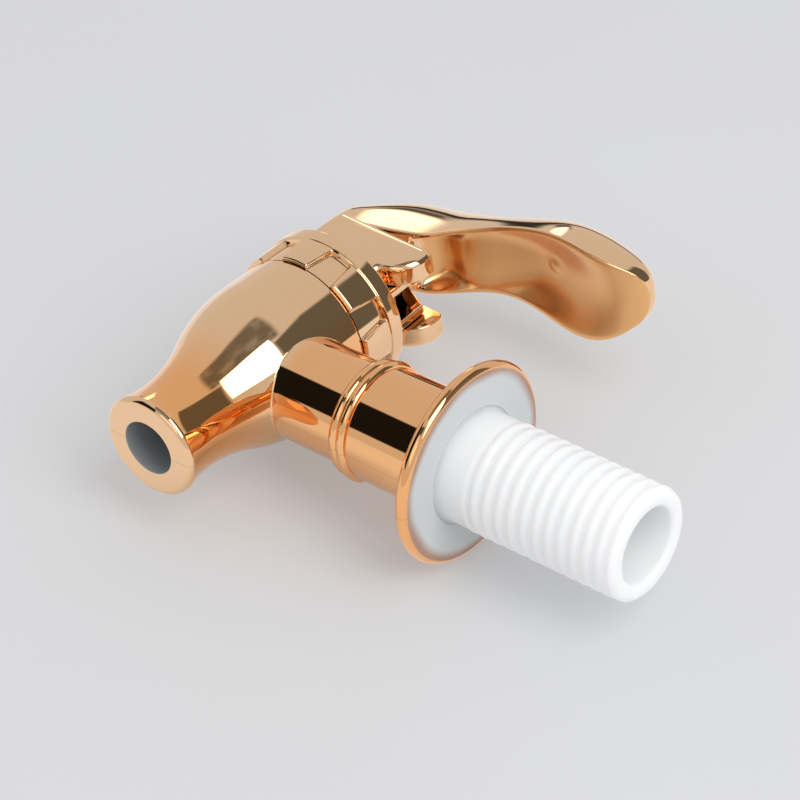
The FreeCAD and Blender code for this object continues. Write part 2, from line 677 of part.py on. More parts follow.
def check_and_write(pieces):
    """Stop on a failed object or a bad shape, then write one file per piece."""
    for item in doc.Objects:
        if "Invalid" in item.State or "Error" in item.State:
            raise RuntimeError(f"{item.Name} failed: {item.State}")
    for piece in pieces:
        if piece.Shape.isNull() or not piece.Shape.isValid():
            raise RuntimeError(f"{piece.Label} has no valid shape")
    for piece in pieces:
        piece.Shape.exportStep(os.path.join("parts", f"{piece.Label}.step"))
        print(f"{piece.Label}: {piece.Shape.Volume:.1f} mm3, {len(piece.Shape.Solids)} solid")


fill_sheet()
check_and_write([
    tap_body(),
    bonnet(),
    lever(),
    valve_stem(),
    lever_pin(),
    seat_cup(),
    return_spring(),
])
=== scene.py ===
"""Push-lever bottle tap: its visible pieces, finishes, table and light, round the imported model.

Sizes are millimetres in the row frame: +Z up as the tap is fitted, +Y along the shank into the
container, the origin at the centre of the flange's seating face. Meshes are written in metres.
The tap lies on its side on a pale table, so the table stands upright beside it, facing +X.
"""

import logging
import math
from dataclasses import dataclass, field
from enum import Enum
from typing import Any

import bmesh
import bpy
import numpy as np
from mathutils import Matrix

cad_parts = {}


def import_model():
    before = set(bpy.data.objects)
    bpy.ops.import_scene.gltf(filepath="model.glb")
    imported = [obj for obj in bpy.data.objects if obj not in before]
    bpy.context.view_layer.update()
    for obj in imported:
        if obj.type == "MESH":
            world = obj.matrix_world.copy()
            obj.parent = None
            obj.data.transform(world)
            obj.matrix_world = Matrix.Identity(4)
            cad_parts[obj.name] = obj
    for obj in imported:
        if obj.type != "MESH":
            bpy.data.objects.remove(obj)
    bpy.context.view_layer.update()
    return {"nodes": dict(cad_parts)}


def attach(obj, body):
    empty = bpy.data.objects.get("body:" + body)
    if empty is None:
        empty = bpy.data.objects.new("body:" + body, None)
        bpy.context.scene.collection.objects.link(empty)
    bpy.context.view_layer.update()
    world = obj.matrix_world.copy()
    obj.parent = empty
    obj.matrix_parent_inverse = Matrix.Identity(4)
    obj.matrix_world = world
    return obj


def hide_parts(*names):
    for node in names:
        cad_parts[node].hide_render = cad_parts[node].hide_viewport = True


LOG = logging.getLogger("bottle_tap")
MM = 0.001
VALVE_Y = -37.6


class Body(Enum):
    """The bodies that pieces ride on."""

    TAP = "body"
    STEM = "stem"
    LEVER = "lever"


class Axis(Enum):
    """The axis that a profile is turned about."""

    VALVE = "valve"
    INLET = "inlet"


def linear(hex_colour: str) -> tuple[float, float, float, float]:
    """Turn an sRGB hex colour into linear red, green, blue and alpha.

    Args:
        hex_colour: Six hex digits with a leading hash sign.

    Returns:
        The linear colour, opaque.
    """
    parts = [int(hex_colour[place : place + 2], 16) / 255 for place in (1, 3, 5)]
    red, green, blue = (
        part / 12.92 if part <= 0.04045 else ((part + 0.055) / 1.055) ** 2.4 for part in parts
    )
    return red, green, blue, 1.0


# Curves and surfaces


def arc(centre: tuple[float, float], radius: float, first: float, last: float, count: int) -> np.ndarray:
    """Points of a circular arc.

    Args:
        centre: Centre of the circle.
        radius: Radius of the circle.
        first: Angle of the first point, in degrees.
        last: Angle of the last point, in degrees.
        count: Number of points.

    Returns:
        An array of count rows: centre plus radius times cosine and sine of the angle.
    """
    turn = np.radians(np.linspace(first, last, count))
    return np.stack([centre[0] + radius * np.cos(turn), centre[1] + radius * np.sin(turn)], 1)


def bulge(start: tuple[float, float], end: tuple[float, float], rise: float, count: int) -> np.ndarray:
    """Points of an arc that stands rise to the left of its chord.

    Args:
        start: First point.
        end: Last point.
        rise: Height of the arc over the middle of the chord; negative bends the other way.
        count: Number of points.

    Returns:
        The arc's points: the chord's points lifted along its left normal by the circle's height.
    """
    begin = np.array(start)
    chord = np.array(end) - begin
    length = float(np.hypot(*chord))
    left = np.array([-chord[1], chord[0]]) / length
    radius = (length**2 / 4 + rise**2) / (2 * abs(rise))
    half_turn = math.asin(min(length / (2 * radius), 1.0))
    turn = np.linspace(-half_turn, half_turn, count)
    along = 0.5 + np.sin(turn) / (2 * math.sin(half_turn))
    lift = math.copysign(1.0, rise) * radius * (np.cos(turn) - math.cos(half_turn))
    return begin + along[:, None] * chord + lift[:, None] * left


def line(start: tuple[float, float], end: tuple[float, float], count: int) -> np.ndarray:
    """Evenly spaced points from start to end, without the end itself."""
    share = np.arange(count)[:, None] / count
    return np.array(start) + share * (np.array(end) - np.array(start))


def turned(profile: np.ndarray, axis: Axis, segments: int) -> np.ndarray:
    """Turn a profile about the valve's or the inlet's axis.

    Args:
        profile: Rows of radius and distance along the axis.
        axis: The valve's upright axis or the inlet's level one.
        segments: Number of places round the axis.

    Returns:
        A grid of points: radius times cosine and sine of the turn, and the distance along.
    """
    turn = np.arange(segments) * (2 * np.pi / segments)
    radius, along = profile[:, :1], profile[:, 1:]
    across = radius * np.cos(turn)
    other = radius * np.sin(turn)
    level = np.broadcast_to(along, across.shape)
    if axis is Axis.VALVE:
        return np.stack([across, other + VALVE_Y, level], 2)
    return np.stack([other, level, across], 2)


def spline(knots: np.ndarray, places: np.ndarray) -> np.ndarray:
    """Smooth curve through knots, a cubic spline with free ends.

    Args:
        knots: Rows of values, the first being the place along the curve.
        places: Where the curve is wanted, in the unit of the first value.

    Returns:
        One row of the other values for each place, from the spline whose second
        derivatives match at every knot and vanish at both ends.
    """
    at, values = knots[:, 0], knots[:, 1:]
    step = np.diff(at)
    count = len(at)
    matrix = np.eye(count)
    right = np.zeros_like(values)
    inner = np.arange(1, count - 1)
    matrix[inner, inner - 1] = step[:-1]
    matrix[inner, inner] = 2 * (step[:-1] + step[1:])
    matrix[inner, inner + 1] = step[1:]
    slope = np.diff(values, axis=0) / step[:, None]
    right[1:-1] = 6 * np.diff(slope, axis=0)
    bend = np.linalg.solve(matrix, right)
    span = np.clip(np.searchsorted(at, places) - 1, 0, count - 2)
    width = step[span][:, None]
    after = (at[span + 1] - places)[:, None] / width
    before = (places - at[span])[:, None] / width
    curved = (after**3 - after) * bend[span] + (before**3 - before) * bend[span + 1]
    return after * values[span] + before * values[span + 1] + curved * width**2 / 6


def smooth(value: np.ndarray, low: float, high: float) -> np.ndarray:
    """Rise from 0 at low to 1 at high with level ends: three squares less two cubes."""
    share = np.clip((value - low) / (high - low), 0.0, 1.0)
    return share**2 * (3 - 2 * share)


def placed(forward: np.ndarray, across: np.ndarray, up: np.ndarray, turn: float) -> np.ndarray:
    """Turn points from the lever's own line into the row frame.

    Args:
        forward: Distances from the valve's axis along the lever.
        across: Distances to the lever's right.
        up: Heights.
        turn: The lever's turn from the shank's line, in degrees.

    Returns:
        The points, their last axis holding x, y and z.
    """
    lean = math.radians(turn)
    east = across * math.cos(lean) - forward * math.sin(lean)
    north = across * math.sin(lean) + forward * math.cos(lean) + VALVE_Y
    return np.stack(np.broadcast_arrays(east, north, up), -1)


def grid_mesh(
    name: str, points: np.ndarray, closed_rows: bool = True, sharp: float = 40.0
) -> bpy.types.Object:
    """Make a closed surface from a grid of points.

    Args:
        name: Name of the new object.
        points: Grid of rows by columns by three, in millimetres. Columns always close.
        closed_rows: Whether the last row joins the first; otherwise each end row is a pole
            or is closed by one face.
        sharp: Angle in degrees above which an edge stays crisp.

    Returns:
        The new object, smooth shaded, with its faces pointing outwards.
    """
    rows, columns = points.shape[:2]
    down = np.arange(rows if closed_rows else rows - 1)[:, None]
    across = np.arange(columns)[None, :]
    below = (down + 1) % rows
    beside = (across + 1) % columns
    quads = np.stack(
        [
            down * columns + across,
            down * columns + beside,
            below * columns + beside,
            below * columns + across,
        ],
        2,
    ).reshape(-1, 4)
    faces: list[Any] = quads.tolist()
    if not closed_rows:
        faces.append(list(range(columns)))
        faces.append(list(range((rows - 1) * columns, rows * columns)))
    mesh = bpy.data.meshes.new(name)
    mesh.from_pydata((points.reshape(-1, 3) * MM).tolist(), [], faces)
    return finished(name, mesh, sharp)


def finished(name: str, mesh: bpy.types.Mesh, sharp: float = 40.0) -> bpy.types.Object:
    """Close a mesh's poles, turn its faces outwards, shade it smooth and make its object."""
    shape = bmesh.new()
    shape.from_mesh(mesh)
    bmesh.ops.remove_doubles(shape, verts=shape.verts, dist=0.002 * MM)
    bmesh.ops.dissolve_degenerate(shape, edges=shape.edges, dist=0.002 * MM)
    bmesh.ops.recalc_face_normals(shape, faces=shape.faces)
    shape.to_mesh(mesh)
    shape.free()
    mesh.shade_smooth()
    mesh.set_sharp_from_angle(angle=math.radians(sharp))
    made = bpy.data.objects.new(name, mesh)
    bpy.context.scene.collection.objects.link(made)
    return made


def joined(
    name: str, first: bpy.types.Object, steps: list[tuple[str, bpy.types.Object]]
) -> bpy.types.Object:
    """Join closed pieces into one, or cut one from another.

    Args:
        name: Name of the resulting object.
        first: The piece to start from.
        steps: Pairs of UNION or DIFFERENCE and the piece to use; the pieces are used up.

    Returns:
        One new object in place of all of them.
    """
    for operation, tool in steps:
        change = first.modifiers.new("join", "BOOLEAN")
        change.operation = operation
        change.object = tool
        change.solver = "EXACT"
    bpy.context.view_layer.update()
    graph = bpy.context.evaluated_depsgraph_get()
    mesh = bpy.data.meshes.new_from_object(first.evaluated_get(graph))
    for used in [first, *(tool for _, tool in steps)]:
        bpy.data.objects.remove(used, do_unlink=True)
    mesh.name = name
    return finished(name, mesh)


# Finishes

MATH = "ShaderNodeMath"
VECTOR = "ShaderNodeVectorMath"
RANGE = "ShaderNodeMapRange"
MIX = "ShaderNodeMix"
NOISE = "ShaderNodeTexNoise"
SMOOTH = {"interpolation_type": "SMOOTHSTEP"}
COLOURS = {"data_type": "RGBA"}


class Recipe:
    """A material under way: its nodes are added one by one, and a shader closes it."""

    def __init__(self, name: str) -> None:
        """Start an empty material of that name."""
        self.material = bpy.data.materials.new(name)
        self.material.use_nodes = True
        self.tree = self.material.node_tree
        self.tree.nodes.clear()

    def add(
        self, kind: str, inputs: dict[Any, Any] | None = None, output: int | str = 0, **settings: Any
    ) -> bpy.types.NodeSocket:
        """Add a node with its settings, and its inputs as values or as links from other sockets.

        Args:
            kind: The node's type.
            inputs: Input name or number to a value or an output socket.
            output: Name or number of the output that is wanted.
            **settings: Properties of the node.

        Returns:
            The new node's wanted output.
        """
        node = self.tree.nodes.new(kind)
        for name, value in settings.items():
            setattr(node, name, value)
        for key, value in (inputs or {}).items():
            if isinstance(value, bpy.types.NodeSocket):
                self.tree.links.new(value, node.inputs[key])
            else:
                node.inputs[key].default_value = value
        return node.outputs[output]

    def close(self, shader: bpy.types.NodeSocket) -> bpy.types.Material:
        """Link the finished shader to the material's output and return the material."""
        surface = self.tree.nodes.new("ShaderNodeOutputMaterial")
        self.tree.links.new(shader, surface.inputs[0])
        return self.material


@dataclass(frozen=True)
class PlatedPlastic:
    """Rose-gold vacuum plating under clear lacquer on moulded ABS: a mirror with a warm tint.

    The gold is deeper on the lower spout and along the inlet tube.
    Pairs of sizes are where a change starts and where it is complete, in millimetres.
    """

    name: str
    gold: str = "#EDC59B"
    deep_gold: str = "#F2B175"
    hollow_gold: str = "#E4AE76"
    roughness: float = 0.035
    cloud_mm: float = 6.0
    deep_mm: tuple[float, float] = (-4.0, -15.0)
    lip_mm: tuple[float, float] = (-21.9, -20.8)
    tube_mm: tuple[float, float] = (-30.0, -27.0)
    tube_deep: float = 0.0
    satin: float = 0.0
    seam: bool = False
    seam_mm: tuple[float, float] = (0.07, 0.02)
    seam_share: float = 0.35
    seam_colour: str = "#8A5A3A"
    bare: bool = False
    bare_roughness: float = 0.42
    # The next grey white is white plastic drawn darker: painted shade on the flange's seating face and in the inlet's
    # bore.
    plastic: str = "#C9CCCC"
    # The next grey paints the shade inside the outlet onto its unplated white plastic.
    outlet_shade_grey: str = "#919495"
    haze_colour: str = "#A06A45"
    haze_mm: tuple[float, float] = (12.1, 13.8)
    haze_share: float = 0.85
    haze_wander_mm: float = 1.5
    haze_grain_mm: float = 13.0
    plated_rim_mm: tuple[float, float] = (13.5, 13.8)
    plated_rim_share: float = 0.9
    back_mm: tuple[float, float] = (-0.35, -0.12)
    outlet_radius_mm: tuple[float, float] = (4.1, 4.03)
    outlet_top_mm: tuple[float, float] = (-7.0, -7.5)
    bore_radius_mm: tuple[float, float] = (5.1, 5.04)
    bore_start_mm: tuple[float, float] = (-37.0, -36.5)

    def build(self) -> bpy.types.Material:
        """Return the plating's material."""
        recipe = Recipe(self.name)
        place = recipe.add("ShaderNodeTexCoord", output="Object")
        in_mm = recipe.add(VECTOR, {0: place, "Scale": 1 / MM}, operation="SCALE")
        east, north, up = (recipe.add("ShaderNodeSeparateXYZ", {0: in_mm}, part) for part in "XYZ")
        colour = self._gold(recipe, north, up)
        cloud = recipe.add(NOISE, {"Vector": place, "Scale": 1 / (self.cloud_mm * MM)}, "Fac")
        dull, bright = self.roughness * 1.4, self.roughness * 0.8
        rough = recipe.add(RANGE, {0: cloud, 1: 0.3, 2: 0.7, 3: bright, 4: dull})
        if self.satin:
            marked = recipe.add("ShaderNodeAttribute", output="Fac", attribute_name="satin")
            rough = recipe.add(MIX, {0: marked, 2: rough, 3: self.satin})
            colour = recipe.add(MIX, {0: marked, 6: colour, 7: linear(self.hollow_gold)}, 2, **COLOURS)
        shader_inputs: dict[str, Any] = {"Metallic": 1.0}
        if self.seam:
            offset = recipe.add(MATH, {0: east}, operation="ABSOLUTE")
            ridge = recipe.add(RANGE, {0: offset, 1: self.seam_mm[0], 2: self.seam_mm[1]}, **SMOOTH)
            share = recipe.add(MATH, {0: ridge, 1: self.seam_share}, operation="MULTIPLY")
            colour = recipe.add(MIX, {0: share, 6: colour, 7: linear(self.seam_colour)}, 2, **COLOURS)
            relief = {"Strength": 0.25, "Distance": 0.02 * MM, "Height": ridge}
            shader_inputs["Normal"] = recipe.add("ShaderNodeBump", relief)
        if self.bare:
            bare, bare_colour = self._bare(recipe, place, in_mm, north, up)
            shader_inputs["Metallic"] = recipe.add(MATH, {0: 1.0, 1: bare}, operation="SUBTRACT")
            colour = recipe.add(MIX, {0: bare, 6: colour, 7: bare_colour}, 2, **COLOURS)
            rough = recipe.add(MIX, {0: bare, 2: rough, 3: self.bare_roughness})
        shader_inputs.update({"Base Color": colour, "Roughness": rough})
        return recipe.close(recipe.add("ShaderNodeBsdfPrincipled", shader_inputs))

    def _gold(self, recipe: Recipe, north: Any, up: Any) -> bpy.types.NodeSocket:
        """Deepen the gold down the spout, not on its lip, and along the inlet tube."""
        deep = recipe.add(RANGE, {0: up, 1: self.deep_mm[0], 2: self.deep_mm[1]}, **SMOOTH)
        lip = recipe.add(RANGE, {0: up, 1: self.lip_mm[0], 2: self.lip_mm[1]}, **SMOOTH)
        share = recipe.add(MATH, {0: deep, 1: lip}, operation="MULTIPLY")
        if self.tube_deep:
            tube = recipe.add(RANGE, {0: north, 1: self.tube_mm[0], 2: self.tube_mm[1]}, **SMOOTH)
            tube = recipe.add(MATH, {0: tube, 1: self.tube_deep}, operation="MULTIPLY")
            share = recipe.add(MATH, {0: share, 1: tube}, operation="MAXIMUM")
        golds = {6: linear(self.gold), 7: linear(self.deep_gold)}
        return recipe.add(MIX, {0: share, **golds}, 2, **COLOURS)

    def _bare(self, recipe: Recipe, place: Any, in_mm: Any, north: Any, up: Any) -> tuple[Any, Any]:
        """Find where the plastic stays unplated.

        Args:
            recipe: The material under way.
            place: Object coordinates.
            in_mm: The same in millimetres.
            north: Their y part.
            up: Their z part.

        Returns:
            The share of bare plastic, and its colour: inside the outlet a dark grey that paints
            the shade on its white plastic; on the flange's seating face and in the inlet's bore
            a grey white, painted shade on white plastic, with a brown haze of overspray.
        """
        flat = recipe.add(VECTOR, {0: in_mm, 1: (1.0, 1.0, 0.0)}, operation="MULTIPLY")
        valve_radius = recipe.add(VECTOR, {0: flat, 1: (0.0, VALVE_Y, 0.0)}, 1, operation="DISTANCE")
        inside, below = self.outlet_radius_mm, self.outlet_top_mm
        within = recipe.add(RANGE, {0: valve_radius, 1: inside[0], 2: inside[1]}, **SMOOTH)
        under = recipe.add(RANGE, {0: up, 1: below[0], 2: below[1]}, **SMOOTH)
        in_outlet = recipe.add(MATH, {0: within, 1: under}, operation="MULTIPLY")

        level = recipe.add(VECTOR, {0: in_mm, 1: (1.0, 0.0, 1.0)}, operation="MULTIPLY")
        radius = recipe.add(VECTOR, {0: level}, 1, operation="LENGTH")
        rim, back = self.plated_rim_mm, self.back_mm
        on_back = recipe.add(RANGE, {0: north, 1: back[0], 2: back[1]}, **SMOOTH)
        at_rim = recipe.add(RANGE, {0: radius, 1: rim[0], 2: rim[1]}, **SMOOTH)
        plated = recipe.add(MATH, {0: at_rim, 1: self.plated_rim_share}, operation="MULTIPLY")
        unplated = recipe.add(MATH, {0: 1.0, 1: plated}, operation="SUBTRACT")
        seat = recipe.add(MATH, {0: on_back, 1: unplated}, operation="MULTIPLY")

        inside, start = self.bore_radius_mm, self.bore_start_mm
        within = recipe.add(RANGE, {0: radius, 1: inside[0], 2: inside[1]}, **SMOOTH)
        past = recipe.add(RANGE, {0: north, 1: start[0], 2: start[1]}, **SMOOTH)
        in_bore = recipe.add(MATH, {0: past, 1: within}, operation="MULTIPLY")
        bare = recipe.add(MATH, {0: seat, 1: in_bore}, operation="MAXIMUM")
        bare = recipe.add(MATH, {0: in_outlet, 1: bare}, operation="MAXIMUM")

        drift = {"Vector": place, "Scale": 1 / (self.haze_grain_mm * MM), "Detail": 1.0}
        cloud = recipe.add(NOISE, drift, "Fac")
        wander = {0: cloud, 1: 2 * self.haze_wander_mm, 2: -self.haze_wander_mm}
        shift = recipe.add(MATH, wander, operation="MULTIPLY_ADD")
        strayed = recipe.add(MATH, {0: radius, 1: shift}, operation="ADD")
        haze = recipe.add(RANGE, {0: strayed, 1: self.haze_mm[0], 2: self.haze_mm[1]}, **SMOOTH)
        share = recipe.add(MATH, {0: haze, 1: self.haze_share}, operation="MULTIPLY")
        # White plastic drawn grey, a painted shade, mixed with the overspray's real brown haze.
        tints = {6: linear(self.plastic), 7: linear(self.haze_colour)}
        white = recipe.add(MIX, {0: share, **tints}, 2, **COLOURS)
        # Inside the outlet the white plastic is drawn dark grey, a painted shade.
        tints = {6: white, 7: linear(self.outlet_shade_grey)}
        return bare, recipe.add(MIX, {0: in_outlet, **tints}, 2, **COLOURS)


@dataclass(frozen=True)
class MouldedPlastic:
    """Milky moulded polypropylene: soft gloss, light that sinks in a little, faint flow marks."""

    name: str
    colour: str = "#FAFCFC"
    shade: str = "#F5F9FA"
    roughness: float = 0.34
    sink: float = 0.6
    sink_depth_mm: float = 3.2
    flow_mm: float = 5.0
    grain_mm: float = 0.5

    def build(self) -> bpy.types.Material:
        """Return the plastic's material."""
        recipe = Recipe(self.name)
        place = recipe.add("ShaderNodeTexCoord", output="Object")
        marks = {"Vector": place, "Scale": 1 / (self.flow_mm * MM), "Detail": 3.0}
        flow = recipe.add(NOISE, marks, "Fac")
        fine = recipe.add(NOISE, {"Vector": place, "Scale": 1 / (self.grain_mm * MM)}, "Fac")
        share = recipe.add(RANGE, {0: flow, 1: 0.35, 2: 0.7}, **SMOOTH)
        whites = {6: linear(self.colour), 7: linear(self.shade)}
        low, high = self.roughness * 0.9, self.roughness * 1.15
        inputs = {
            "Base Color": recipe.add(MIX, {0: share, **whites}, 2, **COLOURS),
            "Roughness": recipe.add(RANGE, {0: flow, 1: 0.3, 2: 0.7, 3: low, 4: high}),
            "Normal": recipe.add("ShaderNodeBump", {"Strength": 0.08, "Distance": 0.03 * MM, "Height": fine}),
            "Subsurface Weight": self.sink,
            "Subsurface Radius": (1.0, 0.95, 0.9),
            "Subsurface Scale": self.sink_depth_mm * MM,
        }
        return recipe.close(recipe.add("ShaderNodeBsdfPrincipled", inputs))


@dataclass(frozen=True)
class DrawnSteel:
    """Stainless wire and pin: drawn through a die, so fine streaks break its shine."""

    name: str
    colour: str = "#B4B3B0"
    streak_colour: str = "#A5A4A1"
    roughness: float = 0.24
    streak_mm: float = 0.3

    def build(self) -> bpy.types.Material:
        """Return the steel's material."""
        recipe = Recipe(self.name)
        place = recipe.add("ShaderNodeTexCoord", output="Object")
        marks = {"Vector": place, "Scale": 1 / (self.streak_mm * MM), "Detail": 4.0}
        streak = recipe.add(NOISE, marks, "Fac")
        share = recipe.add(RANGE, {0: streak, 1: 0.4, 2: 0.65}, **SMOOTH)
        greys = {6: linear(self.colour), 7: linear(self.streak_colour)}
        low, high = self.roughness * 0.7, self.roughness * 1.3
        inputs = {
            "Base Color": recipe.add(MIX, {0: share, **greys}, 2, **COLOURS),
            "Metallic": 1.0,
            "Roughness": recipe.add(RANGE, {0: streak, 1: 0.3, 2: 0.7, 3: low, 4: high}),
        }
        return recipe.close(recipe.add("ShaderNodeBsdfPrincipled", inputs))


@dataclass(frozen=True)
class TableTop:
    """Frosted acrylic table lit from below: pale, without grain, its shadows thin.

    Mirrored in the plating it glows brighter, a painted sheen, which fades close
    under the tap as a painted shadow.
    """

    name: str = "table_top"
    colour: str = "#B7B8BA"
    cloud_colour: str = "#B5B5B6"
    cloud_mm: float = 60.0
    glow: float = 0.5
    sheen: float = 0.5
    tap_centre_mm: tuple[float, float, float] = (0.0, -33.0, -6.0)
    tap_shade_mm: tuple[float, float] = (10.0, 34.0)
    reach_mm: float = 420.0
    fade_from: float = 0.6

    def build(self) -> bpy.types.Material:
        """Return the table's material, clear on its underside and past its rim."""
        recipe = Recipe(self.name)
        place = recipe.add("ShaderNodeTexCoord", output="Object")
        in_mm = recipe.add(VECTOR, {0: place, "Scale": 1 / MM}, operation="SCALE")
        level = recipe.add(VECTOR, {0: in_mm, 1: (0.0, 1.0, 1.0)}, operation="MULTIPLY")
        radius = recipe.add(VECTOR, {0: level}, 1, operation="LENGTH")
        faded = self.reach_mm * self.fade_from
        rim = recipe.add(RANGE, {0: radius, 1: faded, 2: self.reach_mm}, **SMOOTH)
        under = recipe.add("ShaderNodeNewGeometry", output="Backfacing")
        hidden = recipe.add(MATH, {0: rim, 1: under}, operation="MAXIMUM")
        cloud = recipe.add(NOISE, {"Vector": place, "Scale": 1 / (self.cloud_mm * MM)}, "Fac")
        greys = {6: linear(self.colour), 7: linear(self.cloud_colour)}
        colour = recipe.add(MIX, {0: cloud, **greys}, 2, **COLOURS)
        matt = recipe.add("ShaderNodeBsdfDiffuse", {"Color": colour})
        # Mirror rays get extra glow, a painted sheen, faded near the tap as a painted shadow.
        mirrored = recipe.add("ShaderNodeLightPath", output="Is Glossy Ray")
        from_tap = recipe.add(VECTOR, {0: level, 1: self.tap_centre_mm}, 1, operation="DISTANCE")
        near, far = self.tap_shade_mm
        apart = recipe.add(RANGE, {0: from_tap, 1: near, 2: far}, **SMOOTH)
        apart = recipe.add(MATH, {0: apart, 1: 1.1, 2: -0.1}, operation="MULTIPLY_ADD")
        share = recipe.add(MATH, {0: mirrored, 1: apart}, operation="MULTIPLY")
        strength = recipe.add(MATH, {0: share, 1: self.sheen, 2: self.glow}, operation="MULTIPLY_ADD")
        glow = recipe.add("ShaderNodeEmission", {"Color": colour, "Strength": strength})
        film = recipe.add("ShaderNodeAddShader", {0: matt, 1: glow})
        clear = recipe.add("ShaderNodeBsdfTransparent")
        return recipe.close(recipe.add("ShaderNodeMixShader", {0: hidden, 1: film, 2: clear}))


def dress(piece: bpy.types.Object, material: bpy.types.Material) -> None:
    """Give a piece its material."""
    piece.data.materials.clear()
    piece.data.materials.append(material)


# The tap


@dataclass
class Moulding:
    """Spout, valve chamber, inlet tube and flange: one plated moulding, and its white shank."""

    outlet_face: float = -22.3
    outlet_bore: float = 4.0
    lip_radius: float = 7.55
    lip_round: float = 0.9
    waist: tuple[float, float] = (6.95, -17.0)
    sweep: float = 23.0
    belly: tuple[float, float] = (11.2, 2.5)
    shoulder: tuple[float, float] = (11.05, 9.73)
    neck_radius: float = 9.6
    neck_top: float = 13.1
    chamber_radius: float = 7.8
    chamber_floor: float = -8.6
    seat_radius: float = 5.0
    seat_top: float = -8.0
    tube_radius: float = 7.4
    tube_start: float = -29.9
    tube_bore: float = 5.0
    bead: tuple[tuple[float, float], ...] = ((7.45, -18.3), (7.95, -16.7), (8.05, -15.2))
    bead_rise: float = 0.68
    flare_radius: float = 8.45
    flange_radius: float = 14.4
    flange_thickness: float = 2.0
    joint_round: float = 0.3
    segments: int = 224

    def swell(self) -> tuple[float, float]:
        """Radius of the convex curve to the belly, and the height where the waist's curve meets it."""
        rise = self.belly[1] - self.waist[1]
        growth = self.belly[0] - self.waist[0]
        both = (growth**2 + rise**2) / (2 * growth)
        return both - self.sweep, rise * self.sweep / both + self.waist[1]

    def radius_at(self, height: np.ndarray) -> np.ndarray:
        """Radius of the spout and chamber at each height between the waist and the shoulder.

        Args:
            height: Heights above the shank's axis.

        Returns:
            Below the meeting height, the waist's circle, its centre outside; above it, the
            belly's circle, its centre inside; over the belly, a straight taper.
        """
        swell, meeting = self.swell()
        hollow = self.waist[0] + self.sweep - np.sqrt(self.sweep**2 - (height - self.waist[1]) ** 2)
        round_part = np.maximum(swell**2 - (height - self.belly[1]) ** 2, 0.0)
        full = self.belly[0] - swell + np.sqrt(round_part)
        share = (height - self.belly[1]) / (self.shoulder[1] - self.belly[1])
        taper = self.belly[0] + share * (self.shoulder[0] - self.belly[0])
        return np.where(height < meeting, hollow, np.where(height < self.belly[1], full, taper))

    def spout(self) -> bpy.types.Object:
        """Spout and chamber as one turned wall, open at the outlet and at the neck."""
        lip_low = self.outlet_face + self.lip_round
        rise = self.waist[1] - lip_low
        growth = self.lip_radius - self.waist[0]
        flare = (growth**2 + rise**2) / (2 * growth)
        low = np.linspace(lip_low, self.waist[1], 26)[1:]
        lip_curve = self.waist[0] + flare - np.sqrt(flare**2 - (low - self.waist[1]) ** 2)
        side = np.concatenate(
            [np.linspace(self.waist[1], self.belly[1], 76)[1:], np.linspace(self.belly[1], self.shoulder[1] - 0.15, 22)[1:]]
        )
        profile = np.concatenate(
            [
                arc((self.outlet_bore + 0.15, self.outlet_face + 0.15), 0.15, 180, 270, 5),
                line((self.outlet_bore + 0.2, self.outlet_face), (self.lip_radius - self.lip_round, self.outlet_face), 6),
                arc((self.lip_radius - self.lip_round, lip_low), self.lip_round, -90, 0, 14),
                np.stack([lip_curve, low], 1),
                np.stack([self.radius_at(side), side], 1),
                arc((self.shoulder[0] - 0.15, self.shoulder[1] - 0.15), 0.15, 10, 90, 4),
                line((self.neck_radius, self.shoulder[1]), (self.neck_radius, self.neck_top), 4),
                line((self.neck_radius, self.neck_top), (self.chamber_radius, self.neck_top), 2),
                line((self.chamber_radius, self.neck_top), (self.chamber_radius, self.chamber_floor + 1.5), 24),
                arc((self.chamber_radius - 1.5, self.chamber_floor + 1.5), 1.5, 0, -90, 8),
                line((self.seat_radius, self.chamber_floor), (self.seat_radius, self.seat_top), 2),
                line((self.seat_radius, self.seat_top), (self.outlet_bore, self.seat_top), 2),
                line((self.outlet_bore, self.seat_top), (self.outlet_bore, self.outlet_face + 0.2), 20),
            ]
        )
        return grid_mesh("spout", turned(profile, Axis.VALVE, self.segments))

    def inlet(self) -> bpy.types.Object:
        """Inlet tube, double bead and flange as one turned solid."""
        first, valley, last = self.bead
        rim = self.flange_thickness / 2
        face = -self.flange_thickness
        profile = np.concatenate(
            [
                line((0.0, self.tube_start), (self.tube_radius, self.tube_start), 3),
                line((self.tube_radius, self.tube_start), first, 30),
                bulge(first, valley, -self.bead_rise, 15)[:-1],
                bulge(valley, last, -self.bead_rise, 15)[:-1],
                line(last, (self.flare_radius - 0.15, face - 0.35), 34),
                arc((self.flare_radius + 0.3, face - 0.4), 0.4, 180, 90, 7),
                line((self.flare_radius + 0.5, face), (self.flange_radius - rim, face), 8),
                arc((self.flange_radius - rim, -rim), rim, -90, 90, 22),
                line((self.flange_radius - rim - 0.02, 0.0), (0.0, 0.0), 14),
                np.zeros((1, 2)),
            ]
        )
        return grid_mesh("inlet", turned(profile, Axis.INLET, self.segments), closed_rows=False)

    def bore(self) -> bpy.types.Object:
        """Round solid that cuts the way from the flange into the chamber."""
        profile = np.array([(0.0, VALVE_Y + 0.5), (self.tube_bore, VALVE_Y + 0.5), (self.tube_bore, 1.0), (0.0, 1.0)])
        return grid_mesh("bore", turned(profile, Axis.INLET, 96), closed_rows=False)

